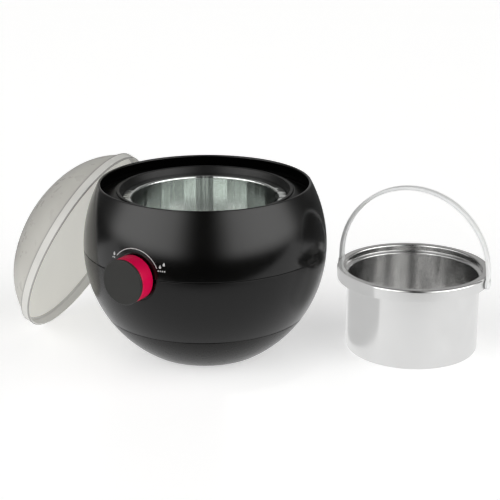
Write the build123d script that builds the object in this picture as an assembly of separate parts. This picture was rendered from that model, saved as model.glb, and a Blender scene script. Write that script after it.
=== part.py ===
from build123d import *
import os
from math import atan2, cos, degrees, hypot, pi, radians, sin, sqrt, tan

# Wax warmer pot set: the ball-shaped heater with its fixed well, the lift-out
# bucket with its bail, and the domed lid leaning on the heater. Millimetres.
# Everything is modelled about the heater's upright axis, with z = 0 on the
# table, and moved to the centre of the set's footprint at the end.

# ---- heater casing: a ball of two arcs that meet, upright, at its waist ----
WAIST_R = 90.0
WAIST_Z = 81.5
UPPER_ARC_R = 102.0
LOWER_ARC_R = 92.8
RIM_TOP_Z = 129.4
RIM_CREST = 1.0
WALL = 2.2
BASE_Z = 1.2
BASE_WALL = 2.4
BASE_EDGE = 0.6
BASE_SEAM_Z = 31.7
SEAM_GAP = 0.15
SEAM_BEVEL = 0.45
SPIGOT_T = 2.4
SPIGOT_RISE = 4.5
SPIGOT_CLEAR = 0.2
SPIGOT_DROP = 7.0
SPIGOT_GAP = 22.5

# ---- collar round the well ----
GUTTER_Z = 117.4
GUTTER_WIDTH = 2.6
LIP_R = 64.9
LIP_Z = 124.2
LIP_WIDTH = 2.4
LIP_STEP = 1.1
COLLAR_T = 2.4
COLLAR_BORE_R = 61.0
COLLAR_SHELF_R = 56.6
COLLAR_SKIRT = 7.0
COLLAR_CLEAR = 0.1

# ---- heating well ----
WELL_R = 53.7
WELL_T = 1.5
FLANGE_R = 60.3
FLANGE_TOP_Z = 118.6
FLANGE_T = 1.5
WELL_FLOOR_Z = 62.2
WELL_CORNER_R = 6.0
WELL_MOUTH_R = 1.2
WELL_STEP_R = 36.0
WELL_STEP_H = 1.4

# ---- knob, its shaft and the thermostat behind it ----
KNOB_AZIMUTH = 238.3
KNOB_R = 16.1
KNOB_BACK = 89.4
KNOB_FRONT = 101.2
KNOB_SHELL_T = 2.0
KNOB_EDGE_R = 0.8
KNOB_TOP_T = 2.4
KNOB_BOSS_T = 2.4
KNOB_RIBS = 6
KNOB_RIB_T = 1.2
CAP_R = 16.2
CAP_NECK_R = 15.0
CAP_GAP = 0.6
CAP_FRONT = 103.8
CAP_EDGE_R = 0.7
CAP_STUB_R = 4.0
CAP_STUB_LENGTH = 1.5
RECESS_R = 17.4
RECESS_FLOOR = 88.2
KNOB_PAD_R = 20.5
KNOB_PAD_BACK = 84.9
SHAFT_R = 3.0
SHAFT_FIT = 0.05
SHAFT_FLAT = 2.2
SHAFT_BACK = 68.2
SHAFT_FRONT = 98.8
SHAFT_FLAT_START = 2.0
CASING_HOLE_R = 5.2
THERMOSTAT = (20.0, 16.0, 17.0)
THERMOSTAT_FRONT = 74.0
BUSHING_R = 4.6
BUSHING_LENGTH = 6.4
BUSHING_NUT = (13.0, 2.6)
SHEET_T = 1.2
SPADE = (6.3, 0.8, 8.0)
SPADE_OFFSET = 5.5
SPADE_DEPTH = 62.0
BRIDGE = (16.0, 12.0)
BRACKET_HALF_WIDTH = 17.0
BRACKET_TOP_Y = 10.0
BRACKET_POST_Z = 66.0
BRACKET_POST_X = 12.5
BRACKET_POST_OUT = 80.0
BRACKET_POST_H = 24.0

# ---- heater, insulation and clamp ----
BAND_T = 2.2
BAND_Z = (92.0, 112.0)
BAND_FIT = 0.05
BAND_GAP_DEG = 9.0
BAND_GAP_BEARING = 28.3
LAGGING_T = 3.0
LAGGING_Z = (91.0, 113.5)
LAGGING_GAP_DEG = 48.0
TAB_BEARINGS = (12.0, 44.0)
TAB_REACH = 65.5
LUG_Z = (97.0, 107.0)
LUG_REACH = 10.0
LUG_HOLE_REACH = 6.5
CLAMP_R = 2.0
CLAMP_HEAD = (3.5, 2.6)
CLAMP_NUT = (7.0, 3.2)
FUSE_BEARING = 118.3
FUSE_Z = 82.0
FUSE_R = 3.0
FUSE_LENGTH = 26.0
FUSE_REACH = 58.65
CLIP_T = 1.0
CLIP_WIDTH = 8.0
CLIP_REACH = 9.0

# ---- posts, rods and fastenings, by bearing round the axis ----
LEG_BEARINGS = (58.3, 178.3, 298.3)
LEG_R = 71.0
LEG_FOOT_Z = 84.0
EAR_HALF = 5.0
EAR_T = 4.0
ROD_BEARINGS = (88.3, 208.3, 328.3)
ROD_CIRCLE_R = 66.0
ROD_Z = (54.5, 116.0)
ROD_R = 2.0
ROD_BOSS_Z = 106.0
SPIDER_HUB_R = 19.0
SPIDER_ARM_HALF = 7.0
ROD_NUT = (7.0, 3.2)
BASE_SCREW_BEARINGS = (45.0, 135.0, 225.0, 315.0)
BASE_SCREW_R = 36.0
BASE_SCREW_HEAD_Z = 22.4
BASE_POST_Z = (26.0, 52.0)
BASE_RIB_Z = 38.0
POST_R = 4.0
RIB_T = 2.4
SCREW_R = 1.45
SCREW_HEAD_R = 3.0
SCREW_HEAD_H = 2.2
PILOT_R = 1.5
CLEAR_HOLE_R = 1.7
FOOT_R = 5.5
FOOT_CIRCLE_R = 34.0
FOOT_H = 2.2
FOOT_BEARINGS = (0.0, 90.0, 180.0, 270.0)
VENT_COUNT = 12
VENT = (13.0, 2.6)
VENT_CIRCLE_R = 20.0

# ---- power inlet at the back, and the terminal block ----
INLET_Z = 50.0
INLET_PAD = (28.0, 20.0)
INLET_PAD_FACE = 84.5
INLET_PAD_BACK = 76.0
INLET_FLANGE = (25.0, 16.4)
INLET_FLANGE_T = 1.5
INLET_BODY = (20.4, 12.6)
INLET_BACK = 71.0
INLET_CAVITY_R = 4.2
INLET_CAVITY_DEPTH = 12.0
PIN_PITCH = 8.6
PIN_R = 1.2
PIN_LENGTH = 9.5
PIN_TAIL = 6.0
BLOCK = (22.0, 16.0, 13.0)
BLOCK_Y = 32.0
BLOCK_WIRE_X = 5.0
BLOCK_SEAT_H = 6.0
LEAD_R = 1.0

# ---- bucket ----
BUCKET_AT = (155.1, -0.5)
BUCKET_R = 49.5
BUCKET_T = 1.0
BUCKET_H = 64.2
BUCKET_FOOT_R = 3.6
BUCKET_RIM_R = 56.8
BUCKET_RIM_EDGE_R = 1.6
BUCKET_SKIRT = 9.0
BUCKET_MOUTH_R = 51.0
BUCKET_BAND = 5.0
BUCKET_STEP_R = 34.0
BUCKET_STEP_H = 1.2

# ---- bail handle ----
BAIL_BEARING = -28.0
BAIL_PIVOT_Z = 59.4
BAIL_CLEAR = 0.35
BAIL_T = 2.6
BAIL_WIDTH = 5.4
BAIL_LEG = 6.0
BAIL_EYE_R = 4.4
BAIL_PIN_R = 1.9
BAIL_PIN_FIT = 0.08
BAIL_HEAD_R = 2.9
BAIL_HEAD_T = 1.0

# ---- lid ----
LID_R = 75.2
LID_T = 1.6
LID_BAND = 7.0
LID_STEP = 1.6
LID_HEIGHT = 45.0
LID_CROWN_R = 104.0
LID_JOIN = radians(27.0)
LID_FACING = 158.1
LID_LEAN = 24.9
LID_BEARING = 154.6
LID_REACH = 103.4

LOW = (Align.CENTER, Align.CENTER, Align.MIN)
BRACKET_POST_R = hypot(BRACKET_POST_X, BRACKET_POST_OUT)
BRACKET_SPREAD = degrees(atan2(BRACKET_POST_X, BRACKET_POST_OUT))
BRACKET_BEARINGS = (KNOB_AZIMUTH - BRACKET_SPREAD, KNOB_AZIMUTH + BRACKET_SPREAD)


# ---------------------------------------------------------------- helpers
def casing_r(z, depth=0.0):
    """Radius of the casing at height z, depth inside its outer skin."""
    arc = UPPER_ARC_R if z > WAIST_Z else LOWER_ARC_R
    return WAIST_R - arc + sqrt((arc - depth) ** 2 - (z - WAIST_Z) ** 2)


def skin(z_from, z_to, depth=0.0):
    """Arc of the casing's outline between two heights on one side of the waist."""
    heights = (z_from, (z_from + z_to) / 2, z_to)
    return ThreePointArc(*[(casing_r(z, depth), 0, z) for z in heights])


def path(*points):
    """Straight edges through points given as (radius, height)."""
    return Polyline(*[(r, 0, z) for r, z in points])


def turned(*runs):
    """Solid of revolution of an outline made of joined runs of edges."""
    edges = [edge for run in runs for edge in run.edges()]
    return revolve(make_face(Wire(edges)), Axis.Z)


def closed_ring(*points):
    """Solid of revolution of a closed outline given as (radius, height)."""
    return revolve(make_face(Polyline(*[(r, 0, z) for r, z in points], close=True)), Axis.Z)


def drum(radius, z_from, z_to):
    return Pos(0, 0, z_from) * Cylinder(radius, z_to - z_from, align=LOW)


def ring(inner, outer, z_from, z_to):
    return drum(outer, z_from, z_to) - drum(inner, z_from, z_to)


def slab(x, y, z):
    """Box between the two values of each of x, y and z."""
    size = (x[1] - x[0], y[1] - y[0], z[1] - z[0])
    return Pos(x[0], y[0], z[0]) * Box(*size, align=(Align.MIN, Align.MIN, Align.MIN))


def at(bearing, radius=0.0, height=0.0):
    """Place on a circle round the axis, turned to face outwards."""
    return Rot(0, 0, bearing) * Pos(radius, 0, height)


def around(solid, bearings, radius=0.0, height=0.0):
    return [at(bearing, radius, height) * solid for bearing in bearings]


def screw(length):
    """Pan-head screw, its head above z = 0 and its shank below."""
    head = drum(SCREW_HEAD_R, 0, SCREW_HEAD_H)
    head = fillet(head.faces().sort_by(Axis.Z)[-1].edges(), 0.8)
    recess = Box(3.4, 0.8, 2.0) + Box(0.8, 3.4, 2.0)
    return head + drum(SCREW_R, -length, 0) - Pos(0, 0, SCREW_HEAD_H) * recess


def hex_nut(across_flats, bore_r, thickness):
    body = extrude(RegularPolygon(across_flats / 2, 6, major_radius=False), thickness)
    return body - drum(bore_r, 0, thickness)


def wall_post(bearing, radius, z_from, z_to, rib_from):
    """Screw post held by a rib that runs out to the casing's wall."""
    rib = slab((0, WAIST_R - radius), (-RIB_T / 2, RIB_T / 2), (rib_from, z_to))
    return at(bearing, radius) * (drum(POST_R, z_from, z_to) + rib)


def ball(depth, z_from, z_to):
    """Inside of the casing between two heights, depth inside its skin."""
    edges = [path((0, z_to), (0, z_from), (casing_r(z_from, depth), z_from))]
    if z_from < WAIST_Z < z_to:
        edges += [skin(z_from, WAIST_Z, depth), skin(WAIST_Z, z_to, depth)]
    else:
        edges.append(skin(z_from, z_to, depth))
    edges.append(path((casing_r(z_to, depth), z_to), (0, z_to)))
    return turned(*edges)


def spin_plane(bearing, height):
    """Plane whose z points outwards along a bearing and whose y points up."""
    outward = (cos(radians(bearing)), sin(radians(bearing)), 0)
    return Plane(origin=(0, 0, height), x_dir=(-outward[1], outward[0], 0), z_dir=outward)


def lead(*points):
    """Round wire along straight runs joined by the largest tangent arcs."""
    vectors = [Vector(*p) for p in points]
    runs = [b - a for a, b in zip(vectors, vectors[1:])]
    radii = []
    for before, after in zip(runs, runs[1:]):
        half_turn = radians(before.get_angle(after)) / 2
        radii.append(0.45 * min(before.length, after.length) / tan(half_turn))
    route = FilletPolyline(*vectors, radius=radii)
    start = Plane(origin=vectors[0], z_dir=runs[0])
    wire = sweep(start * Circle(LEAD_R), path=route)
    full = route.length * pi * LEAD_R ** 2
    print("lead radii", [round(r, 1) for r in radii], "volume ratio", round(wire.volume / full, 4))
    return wire


def bend(start, end, corner):
    """Quarter-round edge in the outline from start to end, tangent to both legs of corner."""
    share = 1 - sqrt(0.5)
    chord = ((start[0] + end[0]) / 2, (start[1] + end[1]) / 2)
    middle = [c + (k - c) * (1 - 2 * share) for c, k in zip(chord, corner)]
    return ThreePointArc((start[0], 0, start[1]), (middle[0], 0, middle[1]), (end[0], 0, end[1]))


def polar(bearing, radius, height):
    return (radius * cos(radians(bearing)), radius * sin(radians(bearing)), height)


KNOB = spin_plane(KNOB_AZIMUTH, WAIST_Z)
INLET = spin_plane(90.0, INLET_Z)


def spade(lateral):
    """Spade terminal under the thermostat, lateral from the knob's axis."""
    width, thickness, length = SPADE
    top = -THERMOSTAT[1] / 2
    plate = slab((lateral - width / 2, lateral + width / 2), (top - length, top), (0, thickness))
    return Pos(0, 0, SPADE_DEPTH - thickness / 2) * plate


def spade_end(lateral):
    """Lower end of that spade, in the heater's own frame."""
    point = KNOB.from_local_coords((lateral, -THERMOSTAT[1] / 2 - SPADE[2], SPADE_DEPTH))
    return (point.X, point.Y, point.Z)


# ---------------------------------------------------------------- casing
def knob_pad(z_from, z_to):
    """Thickened disc of casing behind the knob, kept inside the skin."""
    disc = KNOB * drum(KNOB_PAD_R, KNOB_PAD_BACK, WAIST_R)
    return disc & ball(WALL / 2, z_from, z_to)


def knob_cuts():
    """Round recess that the knob turns in, and the hole for its shaft."""
    return KNOB * (drum(RECESS_R, RECESS_FLOOR, WAIST_R + 5) + drum(CASING_HOLE_R, SHAFT_BACK, WAIST_R))


def upper_housing():
    seam = WAIST_Z + SEAM_GAP
    crest = RIM_TOP_Z - RIM_CREST
    outer, inner = casing_r(crest), casing_r(crest, WALL)
    bevel = seam + SEAM_BEVEL
    shell = turned(
        path((casing_r(bevel), bevel), (casing_r(seam) - SEAM_BEVEL, seam), (casing_r(seam, WALL), seam)),
        skin(seam, crest, WALL),
        ThreePointArc((inner, 0, crest), ((inner + outer) / 2, 0, RIM_TOP_Z), (outer, 0, crest)),
        skin(crest, bevel),
    )
    return shell + knob_pad(seam, WAIST_Z + KNOB_PAD_R + 1) - knob_cuts()


def middle_housing():
    top = WAIST_Z - SEAM_GAP
    bottom = BASE_SEAM_Z + SEAM_GAP
    spigot_r = casing_r(top, WALL) - SPIGOT_CLEAR
    spigot_in, spigot_top = spigot_r - SPIGOT_T, top + SPIGOT_RISE
    spigot_foot = top - SPIGOT_DROP
    root = spigot_foot - SPIGOT_T
    upper_bevel, lower_bevel = top - SEAM_BEVEL, bottom + SEAM_BEVEL
    shell = turned(
        path((casing_r(root, WALL), root), (spigot_in, spigot_foot), (spigot_in, spigot_top),
             (spigot_r, spigot_top), (spigot_r, top), (WAIST_R - SEAM_BEVEL, top),
             (casing_r(upper_bevel), upper_bevel)),
        skin(upper_bevel, lower_bevel),
        path((casing_r(lower_bevel), lower_bevel), (casing_r(bottom) - SEAM_BEVEL, bottom),
             (casing_r(bottom, WALL), bottom)),
        skin(bottom, root, WALL),
    )
    posts = [wall_post(b, BASE_SCREW_R, *BASE_POST_Z, BASE_RIB_Z) for b in BASE_SCREW_BEARINGS]
    post_foot = BRACKET_POST_Z - BRACKET_POST_H
    posts += [wall_post(b, BRACKET_POST_R, post_foot, BRACKET_POST_Z, post_foot) for b in BRACKET_BEARINGS]
    ear = slab((-EAR_HALF, WAIST_R - LEG_R), (-EAR_HALF, EAR_HALF), (LEG_FOOT_Z - EAR_T, LEG_FOOT_Z))
    inner_ball = ball(WALL / 2, bottom, top)
    inner_core = drum(spigot_r - SPIGOT_T / 2, bottom, LEG_FOOT_Z)
    shell = shell + [post & inner_ball for post in posts]
    shell = shell + [placed & inner_core for placed in around(ear, LEG_BEARINGS, LEG_R)]
    shell = shell + knob_pad(WAIST_Z - KNOB_PAD_R - 1, top)
    gap_z = (spigot_in - POST_R, WAIST_R + SPIGOT_T)
    shell = shell - KNOB * slab((-SPIGOT_GAP, SPIGOT_GAP), (-SEAM_GAP, 2 * SPIGOT_RISE), gap_z)
    pilot = drum(PILOT_R, BASE_POST_Z[0], BASE_POST_Z[1] - 4)
    shell = shell - around(pilot, BASE_SCREW_BEARINGS, BASE_SCREW_R)
    pilot = drum(PILOT_R, BRACKET_POST_Z - BRACKET_POST_H / 2, BRACKET_POST_Z)
    shell = shell - around(pilot, BRACKET_BEARINGS, BRACKET_POST_R)
    ear_hole = drum(CLEAR_HOLE_R, LEG_FOOT_Z - EAR_T - 1, LEG_FOOT_Z + 1)
    shell = shell - around(ear_hole, LEG_BEARINGS, LEG_R)
    return inlet_pad(shell) - knob_cuts()


def inlet_pad(shell):
    """Flat pad at the back that carries the power inlet."""
    half_w, half_h = INLET_PAD[0] / 2, INLET_PAD[1] / 2
    pad = slab((-half_w, half_w), (-half_h, half_h), (INLET_PAD_BACK, INLET_PAD_FACE))
    pad = fillet(pad.edges().filter_by(Axis.Z), 3.0)
    window = slab((-half_w, half_w), (-half_h, half_h), (INLET_PAD_FACE, WAIST_R + 5))
    window = fillet(window.edges().filter_by(Axis.Z), 3.0)
    hole = slot_prism(INLET_BODY[0] + 0.3, INLET_BODY[1] + 0.3, INLET_PAD_BACK - 4, INLET_PAD_FACE + 1)
    return shell - INLET * window + INLET * pad - INLET * hole


def base_cover():
    top = BASE_SEAM_Z - SEAM_GAP
    spigot_r = casing_r(BASE_SEAM_Z, WALL) - SPIGOT_CLEAR
    spigot_in, spigot_top = spigot_r - SPIGOT_T, top + SPIGOT_RISE
    bevel, edge, floor = top - SEAM_BEVEL, BASE_Z + BASE_EDGE, BASE_Z + BASE_WALL
    spigot_foot, root = top - 3.0, top - 6.0
    shell = turned(
        path((0, floor), (0, BASE_Z), (casing_r(BASE_Z) - BASE_EDGE, BASE_Z), (casing_r(edge), edge)),
        skin(edge, bevel),
        path((casing_r(bevel), bevel), (casing_r(top) - SEAM_BEVEL, top), (spigot_r, top),
             (spigot_r, spigot_top), (spigot_in, spigot_top), (spigot_in, spigot_foot),
             (casing_r(root, BASE_WALL), root)),
        skin(root, floor, BASE_WALL),
        path((casing_r(floor, BASE_WALL), floor), (0, floor)),
    )
    tube = drum(SCREW_HEAD_R + 2.6, BASE_Z + 1, BASE_POST_Z[0])
    shell = shell + around(tube, BASE_SCREW_BEARINGS, BASE_SCREW_R)
    well = drum(SCREW_HEAD_R + 0.6, 0, BASE_SCREW_HEAD_Z) + drum(CLEAR_HOLE_R, 0, BASE_POST_Z[0] + 1)
    shell = shell - around(well, BASE_SCREW_BEARINGS, BASE_SCREW_R)
    shell = shell - around(drum(FOOT_R, 0, FOOT_H), FOOT_BEARINGS, FOOT_CIRCLE_R)
    vent = extrude(SlotOverall(*VENT), BASE_WALL + 2)
    vents = [at(360 / VENT_COUNT * i + 15, VENT_CIRCLE_R, BASE_Z - 1) * vent for i in range(VENT_COUNT)]
    return shell - vents - Pos(0, BLOCK_Y, 0) * drum(PILOT_R, BASE_Z + 0.8, BASE_Z + BASE_WALL)


def rubber_feet():
    foot = drum(FOOT_R, 0, FOOT_H)
    foot = chamfer(foot.faces().sort_by(Axis.Z)[0].edges(), 0.5)
    return around(foot, FOOT_BEARINGS, FOOT_CIRCLE_R)


def top_collar():
    skirt_out = WALL + COLLAR_CLEAR
    skirt_in = skirt_out + COLLAR_T
    outer = casing_r(GUTTER_Z, skirt_out)
    skirt_z = GUTTER_Z - COLLAR_SKIRT
    shelf_z = FLANGE_TOP_Z - FLANGE_T
    gutter_in = outer - GUTTER_WIDTH
    lip_foot = (LIP_R + 1.3, LIP_Z - LIP_STEP)
    slope = (lip_foot[1] - GUTTER_Z) / (gutter_in - lip_foot[0])
    under_z = GUTTER_Z - COLLAR_T
    inner_out = COLLAR_BORE_R + COLLAR_T
    ring_part = turned(
        path((outer, GUTTER_Z), (gutter_in, GUTTER_Z), lip_foot, (LIP_R + 0.3, LIP_Z - LIP_STEP + 0.2),
             (LIP_R, LIP_Z - 0.4), (LIP_R - 0.4, LIP_Z), (LIP_R - LIP_WIDTH + 0.6, LIP_Z),
             (LIP_R - LIP_WIDTH, LIP_Z - 0.6), (COLLAR_BORE_R, FLANGE_TOP_Z + 0.6),
             (COLLAR_BORE_R, shelf_z), (COLLAR_SHELF_R, shelf_z), (COLLAR_SHELF_R, shelf_z - COLLAR_T),
             (inner_out, shelf_z - COLLAR_T), (inner_out, under_z + slope * (gutter_in - inner_out)),
             (gutter_in - 0.4, under_z), (casing_r(under_z, skirt_in), under_z)),
        skin(under_z, skirt_z, skirt_in),
        path((casing_r(skirt_z, skirt_in), skirt_z), (casing_r(skirt_z, skirt_out), skirt_z)),
        skin(skirt_z, GUTTER_Z, skirt_out),
    )
    leg = drum(POST_R, LEG_FOOT_Z, GUTTER_Z + 0.5) - drum(PILOT_R, LEG_FOOT_Z, LEG_FOOT_Z + 14)
    boss = drum(POST_R, ROD_BOSS_Z, GUTTER_Z + 2.0) - drum(ROD_R + 0.05, ROD_BOSS_Z, ROD_Z[1])
    return ring_part + around(leg, LEG_BEARINGS, LEG_R) + around(boss, ROD_BEARINGS, ROD_CIRCLE_R)


# ---------------------------------------------------------------- well and heater
def heating_well():
    outer = WELL_R + WELL_T
    under = FLANGE_TOP_Z - FLANGE_T
    floor, below = WELL_FLOOR_Z, WELL_FLOOR_Z - WELL_T
    corner, mouth = WELL_CORNER_R, WELL_MOUTH_R
    inner_corner = corner - WELL_T
    lip, wall_foot = (WELL_R + mouth, FLANGE_TOP_Z), (WELL_R, floor + inner_corner)
    wall_top, floor_edge = (WELL_R, FLANGE_TOP_Z - mouth), (WELL_R - inner_corner, floor)
    step_in, step_out = WELL_STEP_R - 1.0, WELL_STEP_R + 1.0
    return turned(
        path((0, below + WELL_STEP_H), (step_in, below + WELL_STEP_H), (step_out, below),
             (outer - corner, below)),
        bend((outer - corner, below), (outer, below + corner), (outer, below)),
        path((outer, below + corner), (outer, under), (FLANGE_R, under), (FLANGE_R, FLANGE_TOP_Z - 0.4),
             (FLANGE_R - 0.4, FLANGE_TOP_Z), lip),
        bend(lip, wall_top, (WELL_R, FLANGE_TOP_Z)),
        path(wall_top, wall_foot),
        bend(wall_foot, floor_edge, (WELL_R, floor)),
        path(floor_edge, (step_out, floor), (step_in, floor + WELL_STEP_H),
             (0, floor + WELL_STEP_H), (0, below + WELL_STEP_H)),
    )


def sector(bearing, width_deg, reach, z_from, z_to):
    """Wedge about the axis, for cutting a gap of width_deg."""
    half = radians(width_deg / 2)
    corners = [(0, 0), (reach * cos(half), -reach * sin(half)), (reach * cos(half), reach * sin(half))]
    wedge = extrude(make_face(Polyline(*corners, close=True)), z_to - z_from)
    return at(bearing, 0, z_from) * wedge


def heater_band():
    inner = WELL_R + WELL_T + BAND_FIT
    band = ring(inner, inner + BAND_T, *BAND_Z)
    band = band - sector(BAND_GAP_BEARING, BAND_GAP_DEG, 100, BAND_Z[0] - 1, BAND_Z[1] + 1)
    half_gap = (inner + BAND_T) * sin(radians(BAND_GAP_DEG / 2))
    for side in (-1, 1):
        sides = sorted((side * half_gap, side * (half_gap + SHEET_T)))
        lug = slab((inner + 0.6, inner + LUG_REACH), sides, LUG_Z)
        hole = Pos(inner + LUG_HOLE_REACH, 0, sum(LUG_Z) / 2) * Rot(90, 0, 0) * Cylinder(CLAMP_R + 0.1, 20)
        band = band + at(BAND_GAP_BEARING) * (lug - hole)
    tab = slab((inner + BAND_T / 2, TAB_REACH), (-3, 3), (BAND_Z[0] + 1, BAND_Z[0] + 2))
    return band + around(tab, TAB_BEARINGS)


def clamp_screw():
    lug_centre = at(BAND_GAP_BEARING, WELL_R + WELL_T + BAND_FIT + LUG_HOLE_REACH, sum(LUG_Z) / 2)
    half_span = (WELL_R + WELL_T + BAND_T) * sin(radians(BAND_GAP_DEG / 2)) + SHEET_T + 0.03
    head_r, head_h = CLAMP_HEAD
    across_flats, nut_h = CLAMP_NUT
    body = drum(head_r, half_span, half_span + head_h) + drum(CLAMP_R, -half_span - 5.0, half_span)
    body = body - Pos(0, 0, half_span + head_h) * Box(8, 1.0, 2.0)
    nut = Pos(0, 0, -half_span - nut_h) * hex_nut(across_flats, CLAMP_R + 0.02, nut_h)
    turn = lug_centre * Rot(90, 0, 0)
    return turn * body, turn * nut


def lagging():
    inner = WELL_R + WELL_T + BAND_T + 2 * BAND_FIT
    wrap = ring(inner, inner + LAGGING_T, *LAGGING_Z)
    return wrap - sector(BAND_GAP_BEARING, LAGGING_GAP_DEG, 100, LAGGING_Z[0] - 1, LAGGING_Z[1] + 1)


def spider_plate():
    top = WELL_FLOOR_Z - WELL_T
    arm = slab((0, ROD_CIRCLE_R + 5), (-SPIDER_ARM_HALF, SPIDER_ARM_HALF), (top - WELL_T, top))
    plate = drum(SPIDER_HUB_R, top - WELL_T, top) + around(arm, ROD_BEARINGS)
    return plate - around(drum(ROD_R + 0.15, top - 5, top + 1), ROD_BEARINGS, ROD_CIRCLE_R)


def tie_rods():
    return around(drum(ROD_R, *ROD_Z), ROD_BEARINGS, ROD_CIRCLE_R)


def tie_rod_nuts():
    across_flats, nut_h = ROD_NUT
    nut = hex_nut(across_flats, ROD_R + 0.02, nut_h)
    return around(nut, ROD_BEARINGS, ROD_CIRCLE_R, WELL_FLOOR_Z - 2 * WELL_T - nut_h)


def thermal_fuse():
    place = spin_plane(FUSE_BEARING, FUSE_Z) * Pos(0, 0, FUSE_REACH)
    sleeve = place * Rot(0, 90, 0) * Cylinder(FUSE_R, FUSE_LENGTH)
    inner = FUSE_R + 0.05
    outer = inner + CLIP_T
    half = CLIP_WIDTH / 2
    foot_z = 0.05 - FUSE_REACH + WELL_R + WELL_T
    arch = Rot(0, 90, 0) * (Cylinder(outer, CLIP_WIDTH) - Cylinder(inner, CLIP_WIDTH))
    arch = arch - slab((-half - 1, half + 1), (-outer - 1, outer + 1), (-outer - 1, 0))
    sides = [sorted((side * inner, side * outer)) for side in (-1, 1)]
    legs = [slab((-half, half), y, (foot_z, 0)) for y in sides]
    reaches = [sorted((side * inner, side * CLIP_REACH)) for side in (-1, 1)]
    feet = [slab((-half, half), y, (foot_z, foot_z + CLIP_T)) for y in reaches]
    return sleeve, place * (arch + legs + feet)


# ---------------------------------------------------------------- thermostat and knob
def thermostat():
    width, height, depth = THERMOSTAT
    back = THERMOSTAT_FRONT - depth
    body = slab((-width / 2, width / 2), (-height / 2, height / 2), (back, THERMOSTAT_FRONT))
    body = fillet(body.edges().filter_by(Axis.Z), 1.5)
    body = body + drum(BUSHING_R, THERMOSTAT_FRONT, THERMOSTAT_FRONT + BUSHING_LENGTH)
    body = body + spade(-SPADE_OFFSET) + spade(SPADE_OFFSET)
    return KNOB * (body - drum(SHAFT_R + SHAFT_FIT, SHAFT_BACK - 0.4, THERMOSTAT_FRONT + 10))


def thermostat_nut():
    across_flats, nut_h = BUSHING_NUT
    nut = hex_nut(across_flats, BUSHING_R + 0.05, nut_h)
    return KNOB * Pos(0, 0, THERMOSTAT_FRONT + SHEET_T) * nut


def thermostat_bracket():
    foot_y = BRACKET_POST_Z - WAIST_Z
    half = BRACKET_HALF_WIDTH
    plate = slab((-half, half), (foot_y, BRACKET_TOP_Y), (THERMOSTAT_FRONT, THERMOSTAT_FRONT + SHEET_T))
    foot = slab((-half, half), (foot_y, foot_y + SHEET_T), (THERMOSTAT_FRONT, BRACKET_POST_OUT + 3.6))
    bushing_hole = drum(BUSHING_R + 0.1, THERMOSTAT_FRONT - 1, THERMOSTAT_FRONT + BUSHING_LENGTH)
    hole = drum(CLEAR_HOLE_R, BRACKET_POST_Z - 1, BRACKET_POST_Z + SHEET_T + 1)
    return KNOB * (plate + foot - bushing_hole) - around(hole, BRACKET_BEARINGS, BRACKET_POST_R)


def thermostat_bridge():
    """Metal block that carries the well's heat to the thermostat."""
    back = THERMOSTAT_FRONT - THERMOSTAT[2]
    half_w, half_h = BRIDGE[0] / 2, BRIDGE[1] / 2
    block = KNOB * slab((-half_w, half_w), (-half_h, half_h), (WELL_R - 5, back))
    return block - drum(WELL_R + WELL_T + 0.02, WELL_FLOOR_Z, FLANGE_TOP_Z)


def knob_shaft():
    shaft = drum(SHAFT_R, SHAFT_BACK, SHAFT_FRONT)
    flat = slab((-5, 5), (SHAFT_FLAT, 5), (KNOB_BACK + SHAFT_FLAT_START, SHAFT_FRONT + 1))
    return KNOB * (shaft - flat)


def knob():
    top = KNOB_FRONT - KNOB_TOP_T
    body = drum(KNOB_R, KNOB_BACK, KNOB_FRONT)
    body = fillet(body.edges().filter_by(GeomType.CIRCLE), KNOB_EDGE_R)
    body = body - drum(KNOB_R - KNOB_SHELL_T, KNOB_BACK - 1, top)
    body = body + drum(SHAFT_R + KNOB_BOSS_T, KNOB_BACK + 0.6, top)
    half = KNOB_RIB_T / 2
    rib = slab((SHAFT_R + KNOB_BOSS_T - 0.4, KNOB_R - 1), (-half, half), (KNOB_BACK + 3, top + 0.4))
    ribs = [Rot(0, 0, 360 / KNOB_RIBS * i) * rib for i in range(KNOB_RIBS)]
    bore = drum(SHAFT_R + 0.02, KNOB_BACK, SHAFT_FRONT + 0.2)
    flat = slab((-5, 5), (SHAFT_FLAT + 0.02, 5), (KNOB_BACK + SHAFT_FLAT_START + 0.1, SHAFT_FRONT + 1))
    stub_hole = drum(CAP_STUB_R + 0.1, KNOB_FRONT - CAP_STUB_LENGTH - 0.1, KNOB_FRONT + 1)
    return KNOB * (body + ribs - (bore - flat) - stub_hole)


def knob_cap():
    face = drum(CAP_R, KNOB_FRONT + CAP_GAP, CAP_FRONT)
    face = fillet(face.faces().sort_by(Axis.Z)[-1].edges(), CAP_EDGE_R)
    neck = drum(CAP_NECK_R, KNOB_FRONT, KNOB_FRONT + CAP_GAP)
    stub = drum(CAP_STUB_R, KNOB_FRONT - CAP_STUB_LENGTH, KNOB_FRONT)
    return KNOB * (face + neck + stub)


# ---------------------------------------------------------------- power side
def slot_prism(width, height, z_from, z_to):
    return Pos(0, 0, z_from) * extrude(SlotOverall(width, height), z_to - z_from)


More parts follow.
